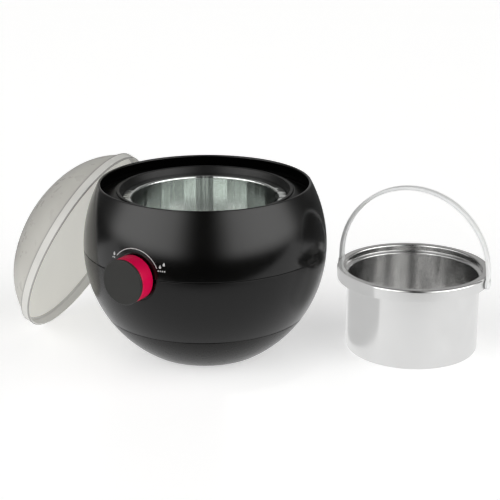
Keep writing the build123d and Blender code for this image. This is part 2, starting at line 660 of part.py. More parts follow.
def power_inlet():
    face = INLET_PAD_FACE + INLET_FLANGE_T
    half_w, half_h = INLET_FLANGE[0] / 2, INLET_FLANGE[1] / 2
    flange = slab((-half_w, half_w), (-half_h, half_h), (INLET_PAD_FACE, face))
    flange = fillet(flange.edges().filter_by(Axis.Z), 3.0)
    flange = chamfer(flange.faces().sort_by(Axis.Z)[-1].edges(), 0.5)
    body = slot_prism(*INLET_BODY, INLET_BACK, INLET_PAD_FACE)
    floor = face - INLET_CAVITY_DEPTH
    web = INLET_CAVITY_R - 1.2
    cavity = slab((-PIN_PITCH / 2, PIN_PITCH / 2), (-web, web), (floor, face + 1))
    pins = [Pos(side * PIN_PITCH / 2, 0, 0) for side in (-1, 1)]
    cavity = cavity + [pin * drum(INLET_CAVITY_R, floor, face + 1) for pin in pins]
    bores = [pin * drum(PIN_R, INLET_BACK - 1, floor + 1) for pin in pins]
    return INLET * (flange + body - cavity - bores)


def inlet_pins():
    tip = INLET_PAD_FACE + INLET_FLANGE_T - INLET_CAVITY_DEPTH + PIN_LENGTH
    pin = drum(PIN_R, INLET_BACK - PIN_TAIL, tip)
    pin = fillet(pin.faces().sort_by(Axis.Z)[-1].edges(), 0.7)
    return [INLET * Pos(side * PIN_PITCH / 2, 0, 0) * pin for side in (-1, 1)]


def terminal_block():
    width, depth, height = BLOCK
    floor = BASE_Z + BASE_WALL
    body = Pos(0, BLOCK_Y, floor) * Box(width, depth, height, align=LOW)
    slots = [Pos(x, BLOCK_Y, floor + height) * Cylinder(2.2, 10) for x in (-BLOCK_WIRE_X, BLOCK_WIRE_X)]
    seat, top = floor + BLOCK_SEAT_H, floor + height + 1
    hole = drum(CLEAR_HOLE_R, floor - 1, top) + drum(SCREW_HEAD_R + 0.2, seat, top)
    return body - slots - Pos(0, BLOCK_Y, 0) * hole


def block_screw():
    return Pos(0, BLOCK_Y, BASE_Z + BASE_WALL + BLOCK_SEAT_H) * screw(7.0)


def leads():
    """Internal wires, each held whole between its two terminals."""
    inlet_y = INLET_BACK - PIN_TAIL
    front, back = BLOCK_Y - BLOCK[1] / 2, BLOCK_Y + BLOCK[1] / 2
    x, z = BLOCK_WIRE_X, 10.0
    pin = PIN_PITCH / 2
    tab_z = BAND_Z[0] + 1
    fuse = spin_plane(FUSE_BEARING, FUSE_Z)
    half, straight = FUSE_LENGTH / 2, FUSE_LENGTH / 2 + 7
    ends = [tuple(fuse.from_local_coords((t, 0, FUSE_REACH))) for t in (-half, -straight, half, straight)]
    near, near_out, far, far_out = ends
    live, heat = spade_end(-SPADE_OFFSET), spade_end(SPADE_OFFSET)
    wires = {}
    for name, side in (("inlet_lead_live", -1), ("inlet_lead_neutral", 1)):
        wires[name] = lead((side * pin, inlet_y, INLET_Z), (side * pin, inlet_y - 10, INLET_Z),
                           (side * 4.6, inlet_y - 16, INLET_Z - 12), (side * 4.9, inlet_y - 14, INLET_Z - 27),
                           (side * x, back + 9, z), (side * x, back, z))
    wires["thermostat_lead"] = lead((x, front, z), (x, front - 11, z), (1, -6, 14), (-9, -28, 25),
                                    (-21, -42, 36), (-33, -49, 47), (live[0], live[1], 56.5), live)
    wires["heater_lead"] = lead(heat, (heat[0], heat[1], 57.5), polar(264, 56, 55), polar(285, 54, 55.3),
                                polar(306, 53, 55.6), polar(328, 54, 55.4), polar(345, 58, 59),
                                polar(358, 62, 68), polar(8, 63, 77), polar(TAB_BEARINGS[0], 62, 84),
                                polar(TAB_BEARINGS[0], 62, tab_z))
    wires["fuse_lead"] = lead(polar(TAB_BEARINGS[1], 62, tab_z), polar(TAB_BEARINGS[1], 62, 85),
                              polar(54, 61.5, 78), polar(72, 60, 77.5), polar(88, 59.6, 79.5), near_out, near)
    wires["return_lead"] = lead(far, far_out, polar(147, 61, 74), polar(151, 55, 58), polar(152, 42, 42),
                                (-23, 11, 26), (-10, 7, 13.5), (-x, front - 10, z), (-x, front, z))
    return wires


# ---------------------------------------------------------------- bucket, bail and lid
def bucket():
    t, r, foot = BUCKET_T, BUCKET_R, BUCKET_FOOT_R
    top, rim, edge = BUCKET_H, BUCKET_RIM_R, BUCKET_RIM_EDGE_R
    mouth, skirt_in = BUCKET_MOUTH_R, rim - t
    band_z = top - BUCKET_BAND
    bead = edge - t
    step_in, step_out = BUCKET_STEP_R - BUCKET_STEP_H, BUCKET_STEP_R + BUCKET_STEP_H
    shell = turned(
        path((0, BUCKET_STEP_H), (step_in, BUCKET_STEP_H), (step_out, 0), (r - foot, 0)),
        bend((r - foot, 0), (r, foot), (r, 0)),
        path((r, foot), (r, band_z - 1.2), (mouth + t, band_z), (mouth + t, top - t), (rim - edge, top - t)),
        bend((rim - edge, top - t), (skirt_in, top - t - bead), (skirt_in, top - t)),
        path((skirt_in, top - t - bead), (skirt_in, top - BUCKET_SKIRT), (rim, top - BUCKET_SKIRT),
             (rim, top - edge)),
        bend((rim, top - edge), (rim - edge, top), (rim, top)),
        path((rim - edge, top), (mouth + 1.0, top)),
        bend((mouth + 1.0, top), (mouth, top - 1.0), (mouth, top)),
        path((mouth, top - 1.0), (mouth, band_z + 0.2), (r - t, band_z - 0.6), (r - t, foot)),
        bend((r - t, foot), (r - foot, t), (r - t, t)),
        path((r - foot, t), (step_out, t), (step_in, t + BUCKET_STEP_H), (0, t + BUCKET_STEP_H),
             (0, BUCKET_STEP_H)),
    )
    pin_hole = Cylinder(BAIL_PIN_R + BAIL_PIN_FIT, 2 * (rim + 2))
    holes = Pos(0, 0, BAIL_PIVOT_Z) * Rot(0, 90, 0) * pin_hole
    keep = drum(rim - t - 1.5, BAIL_PIVOT_Z - 5, BAIL_PIVOT_Z + 5)
    return Pos(*BUCKET_AT, 0) * Rot(0, 0, BAIL_BEARING) * (shell - (holes - keep))


def bucket_bail():
    inner = BUCKET_RIM_R + BAIL_CLEAR
    outer = inner + BAIL_T
    half = BAIL_WIDTH / 2
    arch = ring(inner, outer, -half, half)
    arch = arch - slab((-outer - 1, outer + 1), (-outer - 1, 0), (-half - 1, half + 1))
    legs = [slab(sorted((side * inner, side * outer)), (-BAIL_LEG, 0), (-half, half)) for side in (-1, 1)]
    strap = Pos(0, 0, BAIL_LEG) * Rot(90, 0, 0) * (arch + legs)
    strap = fillet(strap.edges().filter_by(GeomType.CIRCLE), 0.7)
    head_out = BUCKET_RIM_R - BUCKET_T - 0.3
    head_in = head_out - BAIL_HEAD_T
    eye = drum(BAIL_EYE_R, inner, outer)
    eye = fillet(eye.faces().sort_by(Axis.Z)[-1].edges(), 0.8)
    eye = eye + drum(BAIL_PIN_R, head_in, inner + 0.5) + drum(BAIL_HEAD_R, head_in, head_out)
    strap = strap + [Rot(0, 90 * side, 0) * eye for side in (-1, 1)]
    return Pos(*BUCKET_AT, BAIL_PIVOT_Z) * Rot(0, 0, BAIL_BEARING) * strap


def lid_outline(reach):
    """Outline of the dome, reach inside its outer face, from rim to apex."""
    base = (LID_R - LID_STEP - reach, LID_BAND)
    crown_centre = LID_HEIGHT - LID_CROWN_R
    crown_r = LID_CROWN_R - reach
    join = (crown_r * sin(LID_JOIN), crown_centre + crown_r * cos(LID_JOIN))
    mid = (crown_r * sin(LID_JOIN / 2), crown_centre + crown_r * cos(LID_JOIN / 2))
    away = (cos(LID_JOIN), -sin(LID_JOIN))
    corner = TangentArc((join[0], 0, join[1]), (base[0], 0, base[1]), tangent=(away[0], 0, away[1]))
    top = ThreePointArc((0, 0, LID_HEIGHT - reach), (mid[0], 0, mid[1]), (join[0], 0, join[1]))
    return top, corner, base


def lid():
    outer_top, outer_corner, outer_base = lid_outline(0)
    inner_top, inner_corner, inner_base = lid_outline(LID_T)
    shell = turned(
        path((0, LID_HEIGHT - LID_T), (0, LID_HEIGHT)),
        outer_top,
        outer_corner,
        path(outer_base, (LID_R - 0.4, LID_BAND), (LID_R, LID_BAND - 0.4), (LID_R, 0.5), (LID_R - 0.5, 0),
             (LID_R - LID_T + 0.3, 0), (LID_R - LID_T, 0.4), (LID_R - LID_T, LID_BAND - LID_T), inner_base),
        inner_corner,
        inner_top,
    )
    return lid_pose() * shell


def lid_pose():
    """Open side towards the heater, the lowest point of the rim on the table."""
    lean = radians(LID_LEAN)
    facing = radians(LID_FACING)
    axis = (cos(lean) * cos(facing), cos(lean) * sin(facing), sin(lean))
    centre = polar(LID_BEARING, LID_REACH, LID_R * cos(lean))
    return Plane(origin=centre, z_dir=axis).location


# ---------------------------------------------------------------- the whole set
def build_set():
    screw_body, screw_nut = clamp_screw()
    fuse, clip = thermal_fuse()
    upright = Rot(180, 0, 0)
    nodes = {
        "upper_housing": upper_housing(),
        "middle_housing": middle_housing(),
        "base_cover": base_cover(),
        "rubber_feet": rubber_feet(),
        "top_collar": top_collar(),
        "heating_well": heating_well(),
        "heater_band": heater_band(),
        "clamp_screw": screw_body,
        "clamp_nut": screw_nut,
        "lagging": lagging(),
        "spider_plate": spider_plate(),
        "tie_rods": tie_rods(),
        "tie_rod_nuts": tie_rod_nuts(),
        "thermal_fuse": fuse,
        "fuse_clip": clip,
        "thermostat": thermostat(),
        "thermostat_nut": thermostat_nut(),
        "thermostat_bracket": thermostat_bracket(),
        "thermostat_bridge": thermostat_bridge(),
        "knob_shaft": knob_shaft(),
        "knob": knob(),
        "knob_cap": knob_cap(),
        "power_inlet": power_inlet(),
        "inlet_pins": inlet_pins(),
        "terminal_block": terminal_block(),
        "block_screw": block_screw(),
        "base_screws": around(upright * screw(16.0), BASE_SCREW_BEARINGS, BASE_SCREW_R, BASE_SCREW_HEAD_Z),
        "leg_screws": around(upright * screw(15.0), LEG_BEARINGS, LEG_R, LEG_FOOT_Z - EAR_T),
        "bracket_screws": around(screw(10.0), BRACKET_BEARINGS, BRACKET_POST_R, BRACKET_POST_Z + SHEET_T),
        "bucket": bucket(),
        "bucket_bail": bucket_bail(),
        "lid": lid(),
    }
    nodes.update(leads())
    return nodes


def as_shape(node):
    """One shape for a node, whether it is one solid or a group of them."""
    pieces = node if isinstance(node, (list, tuple)) else [node]
    solids = [solid for piece in pieces for solid in piece.solids()]
    return solids[0] if len(solids) == 1 else Compound(solids)


shapes = {name: as_shape(node) for name, node in build_set().items()}
footprint = Compound(list(shapes.values())).bounding_box()
centre = footprint.center()
print("heater axis at", round(-centre.X, 3), round(-centre.Y, 3), "size", footprint.size)
os.makedirs("parts", exist_ok=True)
for name, shape in shapes.items():
    export_step(Pos(-centre.X, -centre.Y, 0) * shape, f"parts/{name}.step")
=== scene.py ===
from math import atan2, ceil, cos, pi, radians, sin, sqrt, tan

import bpy
import numpy as np
from mathutils import Matrix, Vector


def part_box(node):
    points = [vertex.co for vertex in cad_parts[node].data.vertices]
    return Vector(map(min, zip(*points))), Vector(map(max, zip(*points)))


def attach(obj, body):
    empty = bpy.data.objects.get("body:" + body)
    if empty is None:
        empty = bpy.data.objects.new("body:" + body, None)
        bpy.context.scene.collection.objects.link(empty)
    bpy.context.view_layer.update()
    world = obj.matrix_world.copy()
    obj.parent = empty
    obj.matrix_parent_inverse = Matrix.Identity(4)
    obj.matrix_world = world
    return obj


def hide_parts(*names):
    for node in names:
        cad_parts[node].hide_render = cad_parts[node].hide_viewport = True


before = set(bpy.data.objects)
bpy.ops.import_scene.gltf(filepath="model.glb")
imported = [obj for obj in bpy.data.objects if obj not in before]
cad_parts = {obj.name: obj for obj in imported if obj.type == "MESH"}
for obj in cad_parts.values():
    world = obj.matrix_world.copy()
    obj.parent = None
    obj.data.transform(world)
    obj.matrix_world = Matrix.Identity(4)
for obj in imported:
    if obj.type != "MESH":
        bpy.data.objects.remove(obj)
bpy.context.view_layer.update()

# Wax warmer pot set: ball-shaped heater, lift-out bucket with its bail, leaning lid.
# Shapes are worked out in millimetres about the heater's upright axis, table at z = 0.
MM = 0.001
low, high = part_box("upper_housing")
AXIS = Vector(((low.x + high.x) / 2, (low.y + high.y) / 2, 0))

# ---- driving sizes in millimetres and degrees, nearly all as in the CAD ----
WAIST_R = 90.0
WAIST_Z = 81.5
UPPER_ARC_R = 102.0
LOWER_ARC_R = 92.8
WALL = 2.2
SEAM_Z = (WAIST_Z - 0.15, WAIST_Z + 0.15)
BASE_SEAM_Z = 31.85
RIM_TOP_Z = 129.4
SEAM_EDGE_R = 0.45
SPIGOT_T = 2.4
SPIGOT_RISE = 4.5
KNOB_AZIMUTH = 238.3
RECESS_R = 17.4
RECESS_FLOOR = 88.2
RECESS_EDGE = 0.3
CASING_WINDOW = (0.7, 21.5)  # from the seam, and from the waist
SHAFT_HOLE_R = 5.2
GUTTER_Z = 117.4
COLLAR_FOOT_Z = 110.4
LIP_Z = 124.2
WELL_R = 53.7
WELL_T = 1.5
WELL_FLOOR_Z = 62.2
FLANGE_R = 60.3
FLANGE_TOP_Z = 118.6
BUCKET_AT = (155.1, -0.5)
BUCKET_R = 49.5
BUCKET_T = 1.0
BUCKET_H = 64.2
BUCKET_RIM_R = 56.8
BUCKET_MOUTH_R = 51.0
BUCKET_SKIRT = 9.0
BAIL_BEARING = -28.0
BAIL_PIVOT_Z = 59.4
BAIL_R = 57.15
BAIL_T = 2.6
BAIL_HALF_WIDTH = 2.7
BAIL_LEG = 6.0
LID_R = 75.2
LID_T = 1.6
LID_BAND = 7.0
LID_HEIGHT = 45.0
LID_CROWN_R = 104.0
LID_JOIN = 27.0
LID_SHADE_LINE = 1.0  # painted shade line along the lid's edges
LID_LEAN = 24.9
LID_FACING = 158.1
LID_CENTRE = (154.6, 103.4)
KNOB_R = 16.1
KNOB_BACK = 89.4
KNOB_FRONT = 101.2
CAP_R = 16.2
CAP_FRONT = 103.8
INLET_Z = 50.0
INLET_PAD_HALF = (14.0, 10.0)
INLET_PAD_FACE = 84.5
INLET_SLOT_HALF = (10.35, 6.45)

# ---- camera and stage, in metres and degrees ----
CAMERA_FROM_AXIS = (0.03308, -1.0, 0.40361)
CAMERA_DOWN = 18.13
CAMERA_LENS = 101.8
FLOOR_REACH = 6.0
BACKDROP_R = 5.9
BACKDROP_TOP = 8.0
DARK_FLOOR_FRONT = 0.275  # distances from the heater's axis, in reflections only
DARK_FLOOR_BACK = (0.13, 0.27)
CARD_R = 0.0925
CARD_Z = (0.0002, 0.128)


# ---------------------------------------------------------------- camera
def make_camera():
    data = bpy.data.cameras.new("camera")
    data.lens = CAMERA_LENS
    data.sensor_width = 36.0
    camera = bpy.data.objects.new("camera", data)
    camera.location = AXIS + Vector(CAMERA_FROM_AXIS)
    camera.rotation_euler = (radians(90 - CAMERA_DOWN), 0, 0)
    bpy.context.scene.collection.objects.link(camera)
    bpy.context.scene.camera = camera


# ---------------------------------------------------------------- mesh tools
def unit(v):
    return v / np.linalg.norm(v)


def rounded(corners, closed=False, steps=5):
    """Outline through (radius, height, fillet) corners, the material on the left of travel.

    Returns points and outward normals. A fillet of 0 is a point on a smooth run."""
    spots = np.array([c[:2] for c in corners], float)
    count = len(corners)
    places, normals = [], []
    for i, corner in enumerate(corners):
        before = spots[i] - spots[i - 1]
        after = spots[(i + 1) % count] - spots[i]
        if not closed and i == 0:
            before = after
        if not closed and i == count - 1:
            after = before
        before, after = unit(before), unit(after)
        turn = atan2(before[0] * after[1] - before[1] * after[0], before @ after)
        fillet = corner[2] if len(corner) > 2 else 0
        if fillet == 0 or abs(turn) < 1e-4:
            places.append(spots[i])
            normals.append(unit(before + after))
            continue
        side = 1 if turn > 0 else -1
        start = spots[i] - before * fillet * tan(abs(turn) / 2)
        centre = start + np.array((-before[1], before[0])) * side * fillet
        for k in range(steps + 1):
            a = turn * k / steps
            d = np.array((before[0] * cos(a) - before[1] * sin(a), before[0] * sin(a) + before[1] * cos(a)))
            places.append(centre - np.array((-d[1], d[0])) * side * fillet)
            normals.append(d)
    tangents = np.array(normals)
    return np.array(places), np.column_stack((tangents[:, 1], -tangents[:, 0]))


def lathe(outline, angles, closed=False, keep=None):
    """Turns an outline about z. keep(row, column) says which faces are made."""
    places, normals = outline
    rows, columns = len(places), len(angles)
    co, no = [], []
    for (r, z), (nr, nz) in zip(places, normals):
        for a in angles:
            co.append((max(r, 0) * cos(a), max(r, 0) * sin(a), z))
            no.append((nr * cos(a), nr * sin(a), nz))
    faces = []
    for i in range(rows if closed else rows - 1):
        k = (i + 1) % rows
        for j in range(columns):
            if keep and not keep(i, j):
                continue
            m = (j + 1) % columns
            quad = (i * columns + j, i * columns + m, k * columns + m, k * columns + j)
            if places[i][0] < 1e-6:
                quad = (i * columns, k * columns + m, k * columns + j)
            elif places[k][0] < 1e-6:
                quad = (i * columns + j, i * columns + m, k * columns)
            faces.append(quad)
    return np.array(co), np.array(no), faces


def circle(count):
    return [2 * pi * i / count for i in range(count)]


def joined(*parts):
    """Several (points, normals, faces) as one."""
    co, no, faces, offset = [], [], [], 0
    for c, n, f in parts:
        co.append(c)
        no.append(n)
        faces += [tuple(v + offset for v in face) for face in f]
        offset += len(c)
    return np.concatenate(co), np.concatenate(no), faces


def placed(part, matrix):
    """A part moved by a 4x4 in millimetres."""
    m = np.array(matrix, float)
    co, no, faces = part
    return co @ m[:3, :3].T + m[:3, 3], no @ m[:3, :3].T, faces


def piece(name, part, body, material, replaces=(), matrix=None, zones=None):
    """A smooth, unrotated mesh object whose origin is on its own axis, riding on a body."""
    place = Matrix(matrix) if matrix is not None else Matrix.Identity(4)
    co, no, faces = placed(part, place.to_3x3().to_4x4())
    used = sorted({v for face in faces for v in face})
    index = {v: i for i, v in enumerate(used)}
    mesh = bpy.data.meshes.new(name)
    mesh.from_pydata([tuple(co[v] * MM) for v in used], [], [tuple(index[v] for v in face) for face in faces])
    mesh.update()
    for face in mesh.polygons:
        face.use_smooth = True
    mesh.normals_split_custom_set_from_vertices([tuple(no[v]) for v in used])
    for finish in material if isinstance(material, (list, tuple)) else [material]:
        mesh.materials.append(finish)
    if zones is not None:
        mesh.polygons.foreach_set("material_index", zones)
    obj = bpy.data.objects.new(name, mesh)
    bpy.context.scene.collection.objects.link(obj)
    obj.location = place.translation * MM + AXIS
    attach(obj, body)
    if replaces:
        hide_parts(*replaces)


def lid_pose():
    lean, facing = radians(LID_LEAN), radians(LID_FACING)
    z = Vector((cos(lean) * cos(facing), cos(lean) * sin(facing), sin(lean)))
    x = Vector((-sin(facing), cos(facing), 0))
    y = z.cross(x)
    bearing, reach = radians(LID_CENTRE[0]), LID_CENTRE[1]
    place = Matrix((x, y, z)).transposed().to_4x4()
    place.translation = (reach * cos(bearing), reach * sin(bearing), LID_R * cos(lean))
    return place


# ---------------------------------------------------------------- materials
class Nodes:
    """Short names for building one node tree."""

    def __init__(self, tree):
        self.tree = tree

    def add(self, kind, inputs=None, **settings):
        node = self.tree.nodes.new(kind)
        for key, value in settings.items():
            setattr(node, key, value)
        for key, value in (inputs or {}).items():
            if isinstance(value, bpy.types.NodeSocket):
                self.tree.links.new(value, node.inputs[key])
            else:
                node.inputs[key].default_value = value
        return node

    def math(self, operation, a, b=0.0):
        return self.add("ShaderNodeMath", {0: a, 1: b}, operation=operation).outputs[0]

    def span(self, value, from_low, from_high, to_low, to_high, smooth=False):
        kind = "SMOOTHSTEP" if smooth else "LINEAR"
        inputs = {0: value, 1: from_low, 2: from_high, 3: to_low, 4: to_high}
        return self.add("ShaderNodeMapRange", inputs, interpolation_type=kind).outputs[0]

    def noise(self, vector, scale, detail=3.0, roughness=0.5):
        inputs = {"Vector": vector, "Scale": scale, "Detail": detail, "Roughness": roughness}
        return self.add("ShaderNodeTexNoise", inputs).outputs["Fac"]

    def blend(self, factor, a, b):
        node = self.add("ShaderNodeMix", data_type="RGBA")
        for key, value in ((0, factor), (6, a), (7, b)):
            if isinstance(value, bpy.types.NodeSocket):
                self.tree.links.new(value, node.inputs[key])
            else:
                node.inputs[key].default_value = value
        return node.outputs[2]


def rgba(color, scale=1.0):
    return tuple(min(1.0, c * scale) for c in color[:3]) + (1.0,)


def new_material(name):
    material = bpy.data.materials.new(name)
    material.use_nodes = True
    nodes = Nodes(material.node_tree)
    shader = material.node_tree.nodes["Principled BSDF"]
    place = nodes.add("ShaderNodeTexCoord").outputs["Object"]
    return material, nodes, shader, place


def connect(nodes, socket, node, key):
    nodes.tree.links.new(socket, node.inputs[key])


def moulded(name, color, rough, grain=9000.0, relief=0.00002, specular=0.5, vary=0.12, cloud=60.0):
    """Moulded plastic, rubber or ceramic: fine grain, cloudy tone, uneven gloss."""
    material, n, shader, place = new_material(name)
    cloudy = n.noise(place, cloud, 4.0)
    fine = n.noise(place, grain, 2.0, 0.6)
    tone = n.span(cloudy, 0.3, 0.7, 0.0, 1.0)
    color_out = n.blend(tone, rgba(color, 1 - vary), rgba(color, 1 + vary))
    connect(n, color_out, shader, "Base Color")
    smudge = n.noise(place, cloud * 2.6, 5.0, 0.6)
    connect(n, n.span(smudge, 0.25, 0.75, rough * 0.88, rough * 1.12), shader, "Roughness")
    bump = n.add("ShaderNodeBump", {"Strength": 0.6, "Distance": relief, "Height": fine})
    connect(n, bump.outputs["Normal"], shader, "Normal")
    shader.inputs["Specular IOR Level"].default_value = specular
    return material


def spun_metal(name, color, rough, lines=2600.0, relief=0.000012, wave=0.0, anisotropy=0.0):
    """Turned or drawn metal: fine lines round the piece's own axis, slow waves round its wall."""
    material, n, shader, place = new_material(name)
    split = n.add("ShaderNodeSeparateXYZ", {0: place})
    x, y, z = split.outputs
    radius = n.math("SQRT", n.math("ADD", n.math("MULTIPLY", x, x), n.math("MULTIPLY", y, y)))
    bearing = n.math("ARCTAN2", y, x)
    drift = n.math("MULTIPLY", bearing, 0.0004)
    groove = n.add("ShaderNodeCombineXYZ", {0: radius, 1: z, 2: drift}).outputs[0]
    fine = n.noise(groove, lines, 3.0, 0.65)
    cloudy = n.noise(place, 45.0, 4.0)
    tone = n.blend(n.span(cloudy, 0.3, 0.7, 0, 1), rgba(color, 0.96), rgba(color, 1.02))
    connect(n, tone, shader, "Base Color")
    uneven = n.math("ADD", n.math("MULTIPLY", fine, 0.5), n.math("MULTIPLY", cloudy, 0.5))
    connect(n, n.span(uneven, 0.3, 0.7, rough * 0.75, rough * 1.25), shader, "Roughness")
    shader.inputs["Metallic"].default_value = 1.0
    shader.inputs["Anisotropic"].default_value = anisotropy
    if anisotropy:
        tangent = n.add("ShaderNodeTangent", direction_type="RADIAL", axis="Z")
        connect(n, tangent.outputs[0], shader, "Tangent")
        shader.inputs["Anisotropic Rotation"].default_value = 0.25
    normal = n.add("ShaderNodeBump", {"Strength": 0.5, "Distance": relief, "Height": fine}).outputs["Normal"]
    if wave:
        turn = {0: n.math("COSINE", bearing), 1: n.math("SINE", bearing), 2: 0.0}
        around = n.add("ShaderNodeCombineXYZ", turn).outputs[0]
        on_wall = n.span(radius, 0.046, 0.052, 0.0, 1.0, smooth=True)
        slow = n.math("MULTIPLY", n.noise(around, 4.5, 2.0), on_wall)
        waves = {"Strength": 1.0, "Distance": wave, "Height": slow, "Normal": normal}
        normal = n.add("ShaderNodeBump", waves).outputs["Normal"]
    connect(n, normal, shader, "Normal")
    return material


def frosted(name, color, rough, transmission, clear_share, glow=0.0, crown=1.0):
    """Thin frosted plastic that lets light through. Its tone at the crown is crown times color. The glow is
    painted light: an emission that brightens the plastic, though it is no lamp.
    """
    material, n, shader, place = new_material(name)
    cloudy = n.noise(place, 28.0, 4.0)
    fine = n.noise(place, 7000.0, 2.0)
    edge_tone = n.blend(n.span(cloudy, 0.3, 0.7, 0, 1), rgba(color, 0.97), rgba(color, 1.02))
    lid_axis = tuple(lid_pose().col[2].xyz)
    along = n.add("ShaderNodeVectorMath", {0: place, 1: lid_axis}, operation="DOT_PRODUCT").outputs[1]
    toward_crown = n.span(along, LID_BAND * MM, LID_HEIGHT * MM, 0.0, 1.0, smooth=True)
    tone = n.blend(toward_crown, edge_tone, rgba(color, crown))
    connect(n, tone, shader, "Base Color")
    # painted light: the emission glow stands in for light falling on the plastic
    shader.inputs["Emission Color"].default_value = rgba(color)
    shader.inputs["Emission Strength"].default_value = glow
    connect(n, n.span(n.noise(place, 120.0, 4.0), 0.3, 0.7, rough * 0.85, rough * 1.15), shader, "Roughness")
    bump = n.add("ShaderNodeBump", {"Strength": 0.5, "Distance": 0.00001, "Height": fine})
    connect(n, bump.outputs["Normal"], shader, "Normal")
    shader.inputs["IOR"].default_value = 1.49
    through = n.add("ShaderNodeBsdfTranslucent", {"Color": tone})
    mix = n.add("ShaderNodeMixShader", {0: transmission, 1: shader.outputs[0], 2: through.outputs[0]})
    clear = n.add("ShaderNodeBsdfTransparent")
    final = n.add("ShaderNodeMixShader", {0: clear_share, 1: mix.outputs[0], 2: clear.outputs[0]})
    connect(n, final.outputs[0], material.node_tree.nodes["Material Output"], "Surface")
    return material


def woven(name, color, pitch):
    """Glass-fibre cloth or sleeving, with crossing threads."""
    material, n, shader, place = new_material(name)
    split = n.add("ShaderNodeSeparateXYZ", {0: place})
    turn = 2 * pi / pitch
    threads = [n.math("SINE", n.math("MULTIPLY", axis, turn)) for axis in split.outputs]
    weave = n.math("MULTIPLY", n.math("ADD", threads[0], threads[1]), threads[2])
    fluff = n.noise(place, 2500.0, 4.0)
    height = n.math("ADD", weave, fluff)
    tone = n.blend(n.span(height, -1, 2, 0, 1), rgba(color, 0.75), rgba(color, 1.05))
    connect(n, tone, shader, "Base Color")
    bump = n.add("ShaderNodeBump", {"Strength": 0.8, "Distance": pitch / 6, "Height": height})
    connect(n, bump.outputs["Normal"], shader, "Normal")
    connect(n, n.span(fluff, 0.3, 0.7, 0.8, 0.95), shader, "Roughness")
    return material


casing_gloss = moulded("casing_gloss", (0.0010, 0.0010, 0.0009), 0.18, 5200.0, 0.000002, 0.5, 0.10)
casing_satin = moulded("casing_satin", (0.0011, 0.0010, 0.0010), 0.23, 5200.0, 0.000003, 0.36, 0.10)
base_plastic = moulded("base_plastic", (0.0020, 0.0016, 0.0013), 0.27, 4800.0, 0.000003, 0.16, 0.12)
collar_plastic = moulded("collar_plastic", (0.004, 0.004, 0.004), 0.36, 4200.0, 0.000006, 0.35, 0.12)
cap_plastic = moulded("cap_plastic", (0.017, 0.0172, 0.0155), 0.45, 6000.0, 0.00001, 0.4, 0.06)
knob_pink = moulded("knob_pink", (0.62, 0.0010, 0.060), 0.30, 6000.0, 0.000003, 0.25, 0.04)
bail_plastic = moulded("bail_plastic", (0.80, 0.81, 0.81), 0.35, 4000.0, 0.00002, 0.5, 0.03)
inlet_plastic = moulded("inlet_plastic", (0.012, 0.012, 0.012), 0.45, 5000.0, 0.00003)
foot_rubber = moulded("foot_rubber", (0.022, 0.022, 0.022), 0.8, 3000.0, 0.00004)
steatite = moulded("steatite", (0.82, 0.80, 0.73), 0.6, 1500.0, 0.00004)
print_ink = moulded("print_ink", (0.50, 0.51, 0.51), 0.5, 8000.0, 0.000005, 0.4, 0.05)
bucket_aluminium = spun_metal("bucket_aluminium", (0.82, 0.82, 0.815), 0.18, anisotropy=0.7)
well_aluminium = spun_metal("well_aluminium", (0.86, 0.89, 0.87), 0.14, wave=0.0012, anisotropy=0.5)
# painted light: the outer dome carries a faint glow
lid_plastic = frosted("lid_plastic", (0.56, 0.549, 0.525), 0.30, 0.40, 0.30, glow=0.03, crown=0.66)
# painted light: the lid's inside is a lighter copy of the same plastic with a strong glow, standing in for
# the light it gets
lid_inside_painted_light = frosted("lid_inside_painted_light", (0.92, 0.915, 0.87), 0.35, 0.45, 0.0, glow=0.34)
# painted light: the rim band is a lighter copy of the same plastic with a faint glow
lid_rim_painted_light = frosted("lid_rim_painted_light", (0.85, 0.845, 0.82), 0.25, 0.35, 0.1, glow=0.05)
# painted shade: a darker copy of the plastic for the lines at the band's step and at the mouth
lid_edge_painted_shade = frosted("lid_edge_painted_shade", (0.40, 0.395, 0.38), 0.25, 0.2, 0.0)
FINISHES = {
    "base_plastic": base_plastic,
    "inlet_plastic": inlet_plastic,
    "foot_rubber": foot_rubber,
    "steatite": steatite,
    "bridge_aluminium": spun_metal("bridge_aluminium", (0.72, 0.72, 0.72), 0.35),
    "plated_steel": spun_metal("plated_steel", (0.62, 0.62, 0.60), 0.3),
    "heater_steel": spun_metal("heater_steel", (0.52, 0.50, 0.48), 0.35),
    "brass": spun_metal("brass", (0.78, 0.60, 0.30), 0.25),
    "fuse_sleeve": woven("fuse_sleeve", (0.86, 0.85, 0.80), 0.0006),
    "glass_fibre": woven("glass_fibre", (0.82, 0.80, 0.74), 0.0012),
    "lead_blue": moulded("lead_blue", (0.04, 0.12, 0.40), 0.45),
    "lead_brown": moulded("lead_brown", (0.16, 0.07, 0.03), 0.45),
    "lead_white": moulded("lead_white", (0.80, 0.80, 0.78), 0.5),
}


# ---------------------------------------------------------------- casing
def casing_r(z, depth=0.0):
    arc = UPPER_ARC_R if z > WAIST_Z else LOWER_ARC_R
    return WAIST_R - arc + sqrt((arc - depth) ** 2 - (z - WAIST_Z) ** 2)


def skin_run(z_from, z_to, depth=0.0, pitch=2.4):
    """Smooth points on the casing between two heights, both ends left out."""
    count = ceil(abs(z_to - z_from) / pitch)
    heights = [z_from + (z_to - z_from) * i / count for i in range(1, count)]
    return [(casing_r(z, depth), z) for z in heights]


def skin_point(u, v):
    """Point on the casing u along the knob's sideways direction and v above the waist."""
    r = casing_r(WAIST_Z + v)
    return np.array((sqrt(r * r - u * u), u, WAIST_Z + v))


def skin_normal(p):
    arc = UPPER_ARC_R if p[2] > WAIST_Z else LOWER_ARC_R
    r = sqrt(p[0] ** 2 + p[1] ** 2)
    upright = (p[2] - WAIST_Z) / arc
    flat = sqrt(1 - upright ** 2)
    return np.array((p[0] / r * flat, p[1] / r * flat, upright))


